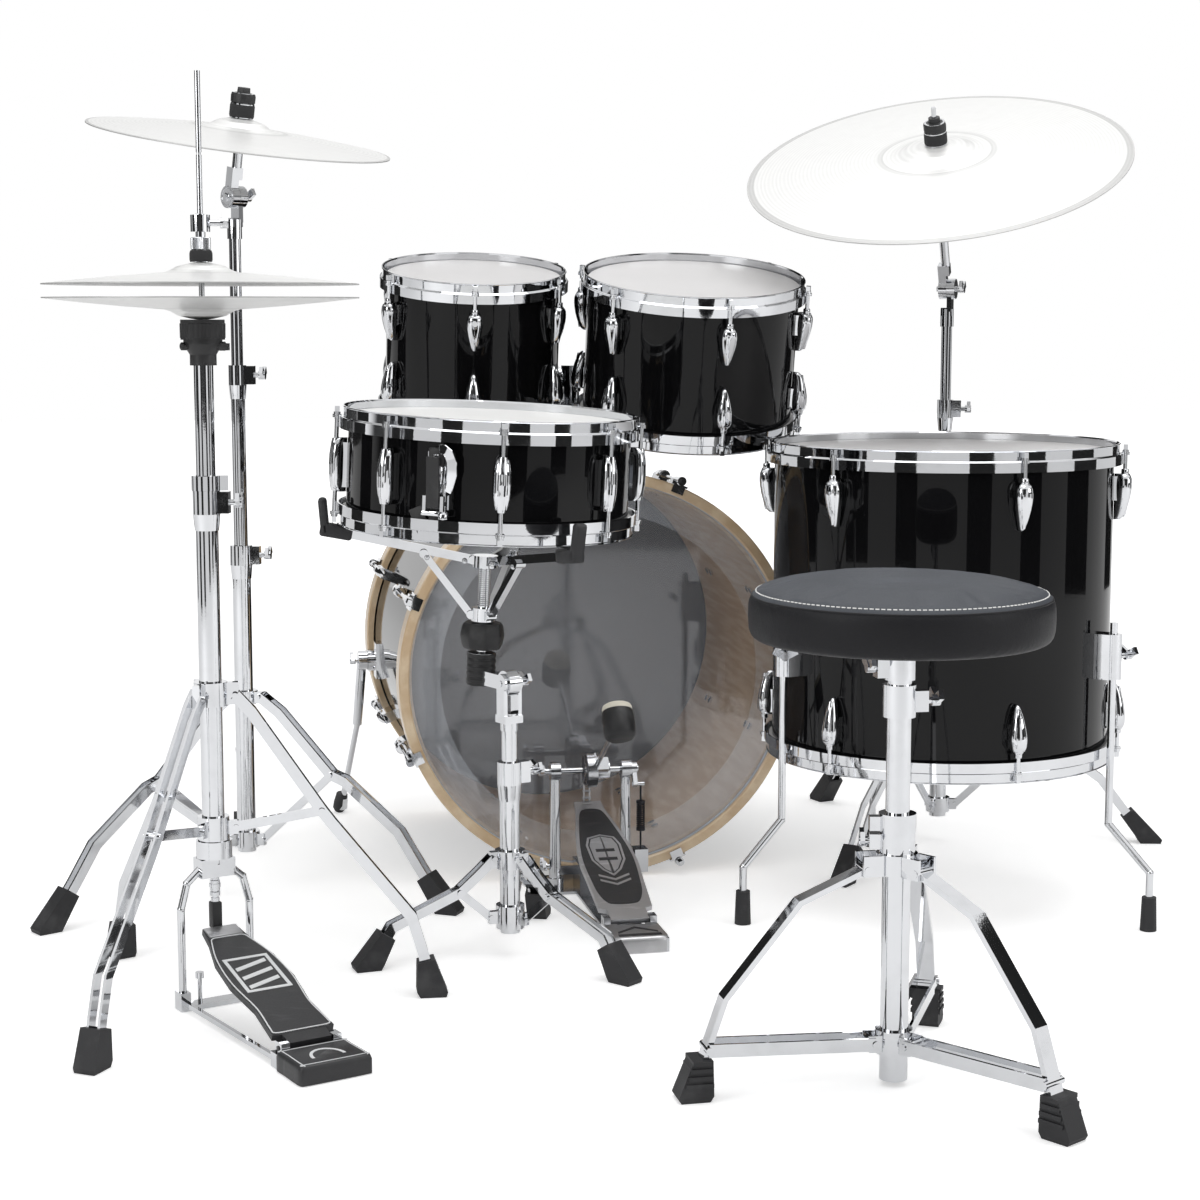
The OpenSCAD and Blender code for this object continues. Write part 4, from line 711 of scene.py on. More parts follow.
def shaped(
    bm: Shape, profile: Sequence[Point], matrix: Matrix, count: int, radius: Callable[
        [float, int, float], float,
    ]
) -> None:
    """A turned solid with ribs or flats.

    Args:
        bm: what it is added to.
        profile: (height, radius) points.
        matrix: where it stands.
        count: points in each ring.
        radius: the true radius, from the profile's radius, the point's number and its angle.
    """
    rings = []
    for z, r in profile:
        turns = [(i, 2 * math.pi * i / count) for i in range(count)]
        rings.append(
            [Vector((radius(r, i, a) * math.cos(a), radius(r, i, a) * math.sin(a), z)) for i, a in turns]
        )
    loft(bm, rings, matrix)


def helix(
    center: Matrix, radius: float, low: float, high: float, turns: int, per_turn: int,
) -> list[Vector]:
    """The path of a coil or thread, from its lower end to its upper."""
    steps = turns * per_turn
    path = []
    for i in range(steps + 1):
        a = 2 * math.pi * i / per_turn
        path.append(
            center @ Vector((radius * math.cos(a), radius * math.sin(a), low + (high - low) * i / steps))
        )
    return path


def collar(
    bm: Shape, inner: float, outer: float, z: float, half: float, matrix: Matrix, count: int,
) -> None:
    """A ring 6 mm tall with chamfered edges, flat over its middle."""
    turned(
        bm, ((inner, z - 0.003), (outer, z - half), (outer, z + half), (inner, z + 0.003)), matrix, count,
    )


def cushion_block(
    bm: Shape, outline: Sequence[Point], middle: float, layers: Sequence[Point], matrix: Matrix
) -> None:
    """A casting that draws in towards its top; layers are (share of the outline, height)."""
    rings = [[Vector((x * k, (y - middle) * k + middle, z)) for x, y in outline] for k, z in layers]
    loft(bm, rings, matrix)


def plate(
    bm: Shape, outline: Sequence[Point], low: float, high: float, matrix: Matrix
) -> None:
    """A flat plate of the given outline, from one height to another."""
    loft(bm, [[Vector((x, y, z)) for x, y in outline] for z in (low, high)], matrix)


def band(
    bm: Shape, outline: Sequence[Point], width: float, low: float, high: float, matrix: Matrix
) -> None:
    """A raised line of a given width that runs round just inside an outline."""
    inner = inset(outline, width)
    rows = [
        [bm.verts.new(matrix @ Vector((x, y, z))) for x, y in line]
        for line, z in ((outline, low), (outline, high), (inner, high), (inner, low))
    ]
    count = len(outline)
    for a, b in zip(rows, rows[1:] + rows[:1]):
        for i in range(count):
            k = (i + 1) % count
            bm.faces.new((a[i], a[k], b[k], b[i]))


def inset(outline: Sequence[Point], width: float) -> list[Point]:
    """The outline moved inwards by a width; the outline runs anticlockwise."""
    made = []
    count = len(outline)
    for i in range(count):
        before, here, after = (Vector(outline[(i + k) % count]) for k in (-1, 0, 1))
        first, second = (here - before).normalized(), (after - here).normalized()
        normal = Vector((-first.y - second.y, first.x + second.x))
        normal = normal.normalized() if normal.length > 1e-9 else Vector((-first.y, first.x))
        spread = max(0.45, normal.dot(Vector((-first.y, first.x))))
        made.append(tuple(here + normal * (width / spread)))
    return made


def rounded(points: Sequence[Point], steps: int = 6) -> list[Point]:
    """A smooth closed line through the points."""
    made = []
    count = len(points)
    for i in range(count):
        a, b, c, d = (Vector(points[(i + k) % count]) for k in (-1, 0, 1, 2))
        for j in range(steps):
            t = j / steps
            p = 0.5 * (
                (2 * b) + (c - a) * t + (2 * a - 5 * b + 4 * c - d) * t * t + (3 * b - a - 3 * c + d) * t**3
            )
            made.append(tuple(p))
    return made


def mirrored(half: Sequence[Point]) -> list[Point]:
    """A closed anticlockwise outline from its right half, given from the bottom up."""
    return list(half) + [(-x, y) for x, y in reversed(half)]


def oblong(half: float, low: float, high: float) -> list[Point]:
    """A rectangle centred on x = 0."""
    return [(-half, low), (half, low), (half, high), (-half, high)]


def vee(half: float, low: float, rise: float, thick: float) -> list[Point]:
    """A chevron centred on x = 0, whose point is at its low end."""
    high = low + rise
    return [
        (-half, high), (0.0, low), (half, high), (half, high + thick), (0.0, low + thick),
        (-half, high + thick),
    ]


def about_z(angle: float) -> Matrix:
    """A turn about Z, in degrees."""
    return Matrix.Rotation(math.radians(angle), 4, "Z")


def leaned(angle: float) -> Matrix:
    """A turn about Y, in degrees."""
    return Matrix.Rotation(math.radians(angle), 4, "Y")


def shift(x: float, y: float, z: float) -> Matrix:
    """A move along the three axes."""
    return Matrix.Translation((x, y, z))


def tipped(angle: float) -> Matrix:
    """A turn about X, in degrees."""
    return Matrix.Rotation(math.radians(angle), 4, "X")


# ---------------------------------------------------------------- drums


@dataclass
class LugDrum:
    """A drum with two rows of teardrop lugs, placed by its upper head."""

    name: str
    body: str
    head: Triple
    diameter: float
    depth: float
    lugs: int
    turn: float
    tilt: float = 0.0
    lug_length: float = 0.058
    lug_width: float = 0.023
    rod_out: float = 0.014
    body_drop: float = 0.030
    proud: float = 0.0235
    place: Matrix = field(init=False)

    def __post_init__(self) -> None:
        """Works out the drum's own frame, with z = 0 at its lower edge."""
        self.place = (
            Matrix.Translation(self.head) @ tipped(self.tilt) @ shift(0, 0, -self.depth)
        )

    def lug_rings(self) -> list[list[Vector]]:
        """Cross-sections of one lug, from its nut end down to its tip."""
        stations = (
            (0.000, 0.50, 0.62), (0.015, 0.66, 0.80), (0.050, 0.80, 0.92), (0.12, 0.92, 0.99),
            (0.20, 0.99, 1.00), (0.28, 1.00, 1.00), (0.40, 0.95, 0.97), (0.54, 0.84, 0.91),
            (0.68, 0.69, 0.82),
            (0.80, 0.54, 0.72), (0.89, 0.41, 0.62), (0.95, 0.30, 0.52), (0.985, 0.18, 0.42),
            (1.0, 0.05, 0.34),
        )
        rings = []
        r = self.diameter / 2
        for along, wide, out in stations:
            half = self.lug_width / 2 * wide
            ring = []
            for i in range(LUG_SIDES):
                a = 2 * math.pi * i / LUG_SIDES
                across = half * math.copysign(abs(math.sin(a)) ** 0.8, math.sin(a))
                rise = 0.5 + 0.5 * math.cos(a)
                base = math.sqrt(r * r - across * across) + SKIN
                top = r + self.proud * out
                ring.append(Vector((base + (top - base) * rise**0.75, across, -self.lug_length * along)))
            rings.append(ring)
        return rings

    def build_lugs(self) -> None:
        """Adds the cast lugs over the CAD's plain ones, with their swivel nuts."""
        bm = bmesh.new()
        rings = self.lug_rings()
        for i in range(self.lugs):
            turn = about_z(self.turn + 360 * i / self.lugs)
            for end in (Matrix.Identity(4), shift(0, 0, self.depth) @ Matrix.Diagonal((1, 1, -1, 1))):
                matrix = self.place @ end @ turn @ shift(0, 0, self.depth - self.body_drop)
                loft(bm, rings, matrix)
                nut = matrix @ shift(self.diameter / 2 + self.rod_out, 0, 0)
                turned(bm, ((0.0046, -0.002), (0.0050, 0.0010), (0.0050, 0.0052), (0.0042, 0.0064)), nut)
        add_piece(f"{self.name}_cast_lugs", bm, CHROME, self.body, 50.0)

    def dress(self) -> None:
        """Gives the CAD nodes their finishes."""
        axis = self.place.to_3x3() @ Z_AXIS
        shell = shell_lacquer(self.name, self.place.translation, axis, self.diameter / 2)
        paint(f"{self.name}_shell", shell)
        paint(f"{self.name}_heads", TOM_FILM)
        paint_all(CHROME, f"{self.name}_hoops", f"{self.name}_lugs")

    def build(self) -> None:
        """Builds and dresses the drum."""
        self.build_lugs()
        self.dress()


def body_of(node: str) -> str:
    """The body that carries a CAD node."""
    bodies = frame["record"]["behaviour"]["bodies"]
    return next(name for name, nodes in bodies.items() if node in nodes)


def paint(node: str, finish: Finish, degrees: float = 32.0) -> None:
    """Puts a finish on a CAD node and shades its round faces smooth."""
    mesh = frame["nodes"][node].data
    mesh.materials.clear()
    mesh.materials.append(finish.material())
    smooth_by_angle(mesh, degrees)


def paint_all(finish: Finish, *nodes: str) -> None:
    """Puts one finish on several CAD nodes."""
    for node in nodes:
        paint(node, finish)


def shell_lacquer(name: str, center: Vector, axis: Vector, radius: float) -> Lacquer:
    """Lacquer for a drum's shell of a given radius, with bare ply inside it."""
    inner = radius - LACQUER_DEPTH
    return Lacquer(
        f"{name}_lacquer", GLOSS_BLACK, 0.05, center=tuple(center), axis=tuple(axis), inner_radius=inner,
    )


# ---------------------------------------------------------------- throne


@dataclass
class Throne:
    """Round padded seat with its stitched border, on a tripod."""

    fill: Fill = Fill.FOAM
    swell: float = 0.004
    cap: float = 0.0035
    board: float = 0.0062
    seam: float = 0.735
    piping: float = 0.0013
    stitch_pitch: float = 0.0062
    stitch_rise: float = 0.0050
    stitch_lean: float = -28.0

    def cushion_profile(self, radius: float, low: float, high: float) -> list[Point]:
        """(radius, height) points of the padded seat, from its underside to its crown."""
        foot = ((0.10, 0.0), (0.86, 0.0), (0.955, 0.002), (0.985, 0.009))
        rise = (
            (0.992, 0.35), (0.990, 0.62), (0.975, 0.74), (0.93, 0.86), (0.84, 0.93), (0.66, 0.968),
            (0.40, 0.985),
            (0.10, 0.99),
        )
        made = [(radius * out, low + up) for out, up in foot]
        return made + [(radius * out, low + (high - low) * share) for out, share in rise]

    def build_cushion(self) -> bpy.types.Object:
        """The padded seat, blown up as cloth and settled."""
        low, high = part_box("throne_seat")
        center = (low + high) / 2
        radius = (high.x - low.x) / 2 - self.swell
        floor = low.z + self.board
        bm = bmesh.new()
        where = shift(center.x, center.y, 0)
        turned(bm, self.cushion_profile(radius, floor, high.z - 0.002), where, 96)
        bmesh.ops.triangulate(bm, faces=[f for f in bm.faces if len(f.verts) > 4])
        # the cover's top panel above the seam carries a painted sheen
        cover = Vinyl(
            "seat_cover", SEAT_VINYL.color, SEAT_VINYL.roughness, seam=low.z + (high.z - low.z) * self.seam,
        )
        seat = add_piece("seat_cushion", bm, cover, "throne_seat", 60.0)
        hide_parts("throne_seat")
        inflate(seat, voxel=0.005, pressure=1.6, cap=self.cap)
        return seat

    def build_trim(self, seat: bpy.types.Object) -> None:
        """Piping seam, the line of stitches above it, and the seat's steel plate with its four bolt heads.
        """
        low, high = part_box("throne_seat")
        center = (low + high) / 2
        radius = (high.x - low.x) / 2
        seam_z = low.z + (high.z - low.z) * self.seam
        stitch_z = seam_z + self.stitch_rise
        where = shift(center.x, center.y, 0)
        bm = bmesh.new()
        tree = BVHTree.FromPolygons(
            [v.co.copy() for v in seat.data.vertices], [tuple(p.vertices) for p in seat.data.polygons]
        )

        def reach(turn: Matrix, height: float) -> Vector:
            """The cushion's surface at a height, met from outside."""
            return tree.ray_cast(
                turn @ Vector((radius * 1.2, 0, height)), turn.to_3x3() @ Vector((-1, 0, 0)),
            )[0]

        steps = 160
        line = []
        for i in range(steps + 1):
            turn = where @ about_z(360 * i / steps)
            line.append(reach(turn, seam_z) + turn.to_3x3() @ Vector((-0.0004, 0, 0)))
        swept(bm, line, lambda _t: self.piping, 10)
        add_piece("seat_piping", bm, SEAT_VINYL, "throne_seat")
        bm = bmesh.new()
        count = round(2 * math.pi * radius / self.stitch_pitch)
        for i in range(count):
            turn = where @ about_z(360 * i / count)
            out = (reach(turn, stitch_z) - center).xy.length
            at = turn @ shift(out, 0, stitch_z) @ leaned(self.stitch_lean)
            block(bm, (0.0012, self.stitch_pitch * 0.66, 0.0013), at, 0.0004)
        add_piece("seat_stitches", bm, WHITE_THREAD, "throne_seat")
        bm = bmesh.new()
        profile = (
            (0.02, low.z), (0.058, low.z), (0.06, low.z + 0.0015), (0.06, low.z + 0.005),
            (0.02, low.z + 0.0055),
        )
        turned(bm, profile, where, 48)
        for i in range(4):
            at = where @ about_z(45 + 90 * i) @ shift(0.048, 0, low.z - 0.0005)
            turned(bm, ((0.0035, -0.0012), (0.0048, 0.0), (0.0048, 0.001)), at, 16)
        add_piece("seat_plate", bm, DARK_CASTING, "throne_seat")

    def dress(self) -> None:
        """Chrome for the tubes and legs."""
        paint_all(CHROME, "throne_tripod", "throne_post")

    def build(self) -> None:
        """Builds and dresses the throne."""
        self.build_trim(self.build_cushion())
        self.dress()


def inflate(piece: bpy.types.Object, voxel: float, pressure: float, cap: float) -> None:
    """Blows a closed form up as cloth and keeps the result.

    Args:
        piece: the padded piece, whose mesh is replaced by the settled one.
        voxel: size of the remesh.
        pressure: air pressure inside.
        cap: how far a point may move.
    """
    scene = bpy.context.scene
    bpy.context.view_layer.objects.active = piece
    remesh = piece.modifiers.new("even", "REMESH")
    remesh.mode = "VOXEL"
    remesh.voxel_size = voxel
    remesh.use_smooth_shade = True
    bake_modifiers(piece)
    start = [v.co.copy() for v in piece.data.vertices]
    lowest = min(p.z for p in start)
    pins = piece.vertex_groups.new(name="board")
    pins.add([i for i, p in enumerate(start) if p.z < lowest + 0.004], 1.0, "REPLACE")
    cloth = piece.modifiers.new("foam", "CLOTH")
    cloth.settings.use_pressure = True
    cloth.settings.uniform_pressure_force = pressure
    cloth.settings.vertex_group_mass = "board"
    cloth.settings.effector_weights.gravity = 0.0
    cloth.settings.tension_stiffness = 30.0
    cloth.settings.bending_stiffness = 4.0
    for f in range(1, 21):
        scene.frame_set(f)
    bake_modifiers(piece)
    for vertex, old in zip(piece.data.vertices, start):
        move = vertex.co - old
        if move.length > cap:
            vertex.co = old + move.normalized() * cap
    scene.frame_set(1)
    piece.vertex_groups.clear()
    sub = piece.modifiers.new("smooth", "SUBSURF")
    sub.levels = 1
    sub.render_levels = 1
    bake_modifiers(piece)
    smooth_by_angle(piece.data, 60.0)


def bake_modifiers(piece: bpy.types.Object) -> None:
    """Replaces a piece's mesh by what its modifiers show."""
    graph = bpy.context.evaluated_depsgraph_get()
    settled = bpy.data.meshes.new_from_object(piece.evaluated_get(graph))
    old = piece.data
    materials = [m for m in old.materials]
    piece.modifiers.clear()
    piece.data = settled
    settled.materials.clear()
    for m in materials:
        settled.materials.append(m)
    bpy.data.meshes.remove(old)


# ---------------------------------------------------------------- bass drum and pedal


@dataclass
class BassDrum:
    """Bass drum in wooden hoops, with a clear head towards the player."""

    leg_radius: float = 0.007
    leg_run: Triple = (0.022, -0.067, 0.152)

    def dress(self) -> None:
        """Gives each node its finish."""
        low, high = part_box("bass_shell")
        center = (low + high) / 2
        on_axis = Vector((center.x, 0.0, center.z))
        paint("bass_shell", shell_lacquer("bass", on_axis, Y_AXIS, (high.x - low.x) / 2))
        paint("bass_hoops", MAPLE)
        paint("bass_batter_head", ClearFilm("batter_film", (0.78, 0.82, 0.88), 0.03, center=tuple(center)))
        paint("bass_front_head", DARK_FILM)
        paint_all(CHROME, "bass_lugs", "bass_claws", "bass_spur_left", "bass_spur_right", "tom_mount")

    def build_spur_tips(self) -> None:
        """Rubber tips over the ends of both spurs."""
        for side, name in ((-1, "left"), (1, "right")):
            low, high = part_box(f"bass_spur_{name}")
            x = low.x + self.leg_radius if side < 0 else high.x - self.leg_radius
            tip = Vector((x, high.y - self.leg_radius, low.z + self.leg_radius))
            across, along, up = self.leg_run
            back = Vector((-side * across, along, up)).normalized()
            turn = back.to_track_quat("Z", "Y").to_matrix().to_4x4()
            bm = bmesh.new()
            profile = (
                (0.0035, -0.0064), (0.0075, -0.0052), (0.0105, 0.0), (0.0108, 0.010), (0.0098, 0.020),
                (0.0092, 0.027), (0.0062, 0.029),
            )
            turned(bm, profile, Matrix.Translation(tip) @ turn, 32)
            add_piece(f"spur_tip_{name}", bm, RUBBER, f"spur_{name}")

    def build(self) -> None:
        """Dresses the drum and adds the spur tips."""
        self.dress()
        self.build_spur_tips()


@dataclass
class BassPedal:
    """Chain pedal with its beater, coil spring, cast heel and footboard shield."""

    x: float = -0.028
    hinge: Point = (-0.311, 0.022)
    slope: float = 18.2
    length: float = 0.298
    axle: Point = (-0.052, 0.170)
    beater_x: float = 0.006
    lean: float = 59.0
    reach: float = 0.190
    coils: int = 13
    wire: float = 0.00115

    def build_spring(self) -> None:
        """Coil spring with its two hooks."""
        low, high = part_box("pedal_spring")
        x, y = (low.x + high.x) / 2, (low.y + high.y) / 2
        bm = bmesh.new()
        start, end = low.z + 0.028, low.z + 0.067
        swept(bm, helix(shift(x, y, 0), 0.0052, start, end, self.coils, 14), lambda _t: self.wire, 8)
        for foot, top in ((end, high.z), (low.z, start)):
            rod = [Vector((x, y, foot + (top - foot) * i / 4)) for i in range(5)]
            swept(bm, rod, lambda _t: 0.0015)
        for z in (end, start):
            collar(bm, 0.003, 0.0064, z, 0.002, shift(x, y, 0), 24)
        made = add_piece(
            "pedal_spring_coil", bm, SPRING_BLACK, body_of("pedal_spring"), 60.0,
        )
        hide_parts("pedal_spring")

    def build_beater(self) -> None:
        """Rounded black beater with a cream felt face."""
        head = (
            shift(self.x + self.beater_x, self.axle[0], self.axle[1]) @ tipped(self.lean)
            @ shift(0, 0, self.reach) @ tipped(-90)
        )
        bm = bmesh.new()
        profile = (
            (0.002, -0.0245), (0.0165, -0.0245), (0.0195, -0.0225), (0.0213, -0.0175), (0.022, -0.006),
            (0.0218, 0.006), (0.0205, 0.0145), (0.0203, 0.0150), (0.002, 0.0150),
        )
        turned(bm, profile, head, 48)
        shell = add_piece("beater_shell", bm, NYLON, body_of("pedal_beater"), 40.0)
        bm = bmesh.new()
        profile = (
            (0.002, 0.0148), (0.0198, 0.0148), (0.0204, 0.0165), (0.0203, 0.0195), (0.0190, 0.0225),
            (0.0160, 0.0243), (0.002, 0.0245),
        )
        turned(bm, profile, head, 48)
        felt = add_piece("beater_felt_face", bm, CREAM_FELT, body_of("pedal_beater"), 40.0)
        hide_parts("pedal_beater")
        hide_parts("pedal_beater")

    def build_board(self) -> None:
        """Black inlay, shield and chevrons on the footboard, and the cast heel over its plate."""
        long = self.length
        place = shift(self.x, *self.hinge) @ tipped(self.slope)
        half = (
            (0.012, 0.032), (0.0225, 0.038), (0.0300, 0.060), (0.0330, long * 0.30), (0.0352, long * 0.45),
            (0.0330, long * 0.58),
            (0.0255, long * 0.75), (0.0170, long * 0.89), (0.008, long * 0.925),
        )
        outline = rounded(mirrored(half), 5)
        bm = bmesh.new()
        plate(bm, outline, 0.0049, 0.0056, place)
        add_piece("pedal_board_inlay", bm, POWDER_COAT, "pedal_footboard", 30.0)
        bm = bmesh.new()
        shield = mirrored(
            (
                (0.0004, long * 0.335), (0.0130, long * 0.385), (0.0235, long * 0.47),
                (0.0245, long * 0.60), (0.0190, long * 0.665), (0.0004, long * 0.690),
            )
        )
        band(bm, shield, 0.0030, 0.0055, 0.0062, place)
        core = inset(shield, 0.0052)
        plate(bm, core, 0.0055, 0.0060, place)
        for k in (0.0, 0.012):
            plate(bm, vee(0.021, long * 0.255 + k, 0.012, 0.0045), 0.0055, 0.0061, place)
        add_piece("pedal_board_shield", bm, BRUSHED, "pedal_footboard", 30.0)
        bm = bmesh.new()
        for k in (-1, 1):
            y = long * 0.515 + 0.011 * k
            plate(bm, oblong(0.013, y - 0.0035, y + 0.0035), 0.0059, 0.0063, place)
        add_piece("pedal_shield_bars", bm, POWDER_COAT, "pedal_footboard", 30.0)
        heel = shift(self.x, self.hinge[0] - 0.0085, 0.0)
        bm = bmesh.new()
        half = (
            (0.012, -0.0725), (0.030, -0.0715), (0.0370, -0.064), (0.0374, -0.040), (0.0372, -0.012),
            (0.0360, -0.0012), (0.020, -0.0008), (0.0195, -0.006),
        )
        outline = rounded(mirrored(half), 3)
        cushion_block(
            bm, outline, -0.035, ((1.0, 0.0006), (1.0, 0.0150), (0.965, 0.0195), (0.90, 0.0212)), heel,
        )
        add_piece("pedal_heel_casting", bm, BRUSHED, body_of("pedal_frame"), 45.0)
        bm = bmesh.new()
        chevron = (
            (-0.026, -0.050), (0.0, -0.028), (0.026, -0.050), (0.026, -0.0445), (0.0, -0.0215),
            (-0.026, -0.0445),
        )
        plate(bm, chevron, 0.0210, 0.0219, heel)
        plate(bm, oblong(0.028, -0.064, -0.0555), 0.0210, 0.0219, heel)
        add_piece("pedal_heel_marks", bm, POWDER_COAT, body_of("pedal_frame"), 30.0)

    def build_chain_sprocket(self) -> None:
        """Bolt heads on the axle and a ring of slots on the cam's faces."""
        at = shift(self.x, *self.axle) @ leaned(90)
        bm = bmesh.new()
        for side in (-1, 1):
            face = at @ shift(0, 0, side * 0.0071)
            torus(bm, 0.0205, 0.0014, face, 48)
            for i in range(6):
                hole = face @ about_z(60 * i) @ shift(0.0125, 0, 0)
                turned(bm, ((0.0030, -0.0006), (0.0030, 0.0006), (0.0022, 0.0009)), hole, 16)
        add_piece("cam_relief", bm, DARK_CASTING, body_of("pedal_cam"), 40.0)

    def dress(self) -> None:
        """Gives each node its finish."""
        paint_all(SATIN, "pedal_frame", "pedal_cam")
        paint("pedal_footboard", BRUSHED)

    def build(self) -> None:
        """Builds and dresses the pedal."""
        self.build_spring()
        self.build_beater()
        self.build_board()
        self.build_chain_sprocket()
        self.dress()


# ---------------------------------------------------------------- snare drum and its stand


@dataclass
class Snare:
    """Snare drum with oval double lugs, strainer, and the rubber hooks that hold it."""

    head: Triple = (-0.2065, -0.310, 0.678)
    depth: float = 0.127
    radius: float = 0.1778
    tilt: float = 2.95
    tilt_to: float = -37.6
    turn: float = -94.0
    strainer: float = -117.5
    hub_drop: float = 0.181
    arms: Triple = (173.5, 293.5, 53.5)
    nut_sides: int = 8
    thread_pitch: float = 0.0025
    thread_turns: int = 19
    place: Matrix = field(init=False)

    def __post_init__(self) -> None:
        """Works out the drum's own frame, with z = 0 at its lower edge."""
        lean = about_z(self.tilt_to) @ leaned(self.tilt) @ about_z(-self.tilt_to)
        self.place = Matrix.Translation(self.head) @ lean @ shift(0, 0, -self.depth)

    def build_lugs(self) -> None:
        """Long oval casings with a fine centre ridge, one over each pair of rods."""
        bm = bmesh.new()
        tall, half, out = 0.068, 0.0108, 0.0215
        stations = 15
        for i in range(8):
            matrix = self.place @ about_z(self.turn + 45 * i) @ shift(0, 0, self.depth / 2)
            rings = []
            for k in range(stations):
                t = -1 + 2 * k / (stations - 1)
                full = max(0.0, 1 - abs(t) ** 2.6) ** 0.5
                wide, rise = half * (0.42 + 0.58 * full), out * (0.60 + 0.40 * full)
                ring = []
                for j in range(LUG_SIDES):
                    a = 2 * math.pi * j / LUG_SIDES
                    across = wide * math.sin(a)
                    base = math.sqrt(self.radius**2 - across * across) + SKIN
                    lift = (0.5 + 0.5 * math.cos(a)) ** 0.62
                    ring.append(Vector((base + (self.radius + rise - base) * lift, across, t * tall / 2)))
                rings.append(ring)
            loft(bm, rings, matrix)
        add_piece("snare_cast_lugs", bm, CHROME, body_of("snare_lugs"), 50.0)

    def build_strainer(self) -> None:
        """Throw-off on the shell: black block, cast body, curved lever, bottom bar and strap."""
        at = self.place @ about_z(self.strainer)
        r = self.radius
        bm = bmesh.new()
        block(bm, (0.0165, 0.020, 0.022), at @ shift(r + 0.0095, 0.0, 0.0925), 0.002)
        add_piece("strainer_block", bm, NYLON, body_of("snare_lugs"))
        bm = bmesh.new()
        body = at @ shift(r + 0.012, 0, 0.046)
        turned(
            bm,
            (
                (0.002, 0.0), (0.0052, 0.002), (0.0072, 0.010), (0.0088, 0.024), (0.0092, 0.034),
                (0.0078, 0.0365), (0.002, 0.037),
            ),
            body, 32,
        )
        block(bm, (0.006, 0.034, 0.006), at @ shift(r + 0.0155, 0.0, 0.0255), 0.0015)
        turned(
            bm, ((0.002, 0.0), (0.0062, 0.001), (0.0065, 0.006), (0.0045, 0.009), (0.002, 0.0092)),
            at @ shift(r + 0.0175, 0.011, 0.019), 24,
        )
        swept(
            bm, [at @ Vector((r + 0.0165, 0.011, 0.028 + 0.0065 * i)) for i in range(6)], lambda _t: 0.0026,
            12,
        )
        add_piece("strainer_body", bm, CHROME, body_of("snare_lugs"))
        bm = bmesh.new()
        path = (
            (0.0195, 0.004, 0.102), (0.0215, 0.010, 0.1025), (0.0228, 0.017, 0.098),
            (0.0230, 0.0215, 0.088),
            (0.0225, 0.0220, 0.074), (0.0215, 0.0195, 0.060), (0.0208, 0.0165, 0.052),
        )
        rings = []
        for i, (x, y, z) in enumerate(path):
            ahead = Vector(path[min(i + 1, 6)]) - Vector(path[max(i - 1, 0)])
            side = ahead.cross(Vector((1, 0, 0))).normalized() * (0.0060 if i < 5 else 0.0045)
            thick = Vector((0.0016, 0, 0))
            mid = Vector((r + x - 0.002, y, z))
            rings.append([mid + side + thick, mid - side + thick, mid - side - thick, mid + side - thick])
        loft(bm, rings, at)
        edges = [e for e in bm.edges if e.is_manifold]
        bmesh.ops.bevel(bm, geom=edges, offset=0.0006, segments=2, affect="EDGES")
        add_piece("strainer_handle", bm, CHROME, body_of("snare_lever"), 50.0)
        bm = bmesh.new()
        for y, lean in ((-0.022, 24), (-0.004, -14)):
            strap = at @ shift(r + 0.0045, y, 0.013) @ tipped(lean)
            block(bm, (0.0008, 0.017, 0.036), strap, 0.0003)
        add_piece("snare_straps", bm, NYLON, body_of("snare_lugs"))

    def build_grips(self) -> None:
        """Rubber hooks on the basket's three arms."""
        low = self.hub_drop - self.depth - 0.011 - 0.0003
        hub = self.place @ shift(0, 0, self.depth - self.hub_drop)
        r1 = self.radius + 0.014 + 0.0055 + 0.0006
        bm = bmesh.new()
        for a in self.arms:
            arm = hub @ about_z(a)
            pad = arm @ shift(r1 - 0.0092, 0, low - 0.0105) @ leaned(-8)
            block(bm, (0.041, 0.0172, 0.0175), pad, 0.0035)
            hook = arm @ shift(r1 + 0.0068, 0, low + 0.0075) @ leaned(7)
            block(bm, (0.0110, 0.0172, 0.0480), hook, 0.0042)
            for k in range(3):
                rib = arm @ shift(r1 - 0.018 + 0.007 * k, 0, low - 0.0012) @ leaned(-8)
                block(bm, (0.0022, 0.0165, 0.0012), rib, 0.0004)
        made = add_piece("basket_rubber_hooks", bm, RUBBER, body_of("snare_grips"), 50.0)
        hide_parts("snare_grips")

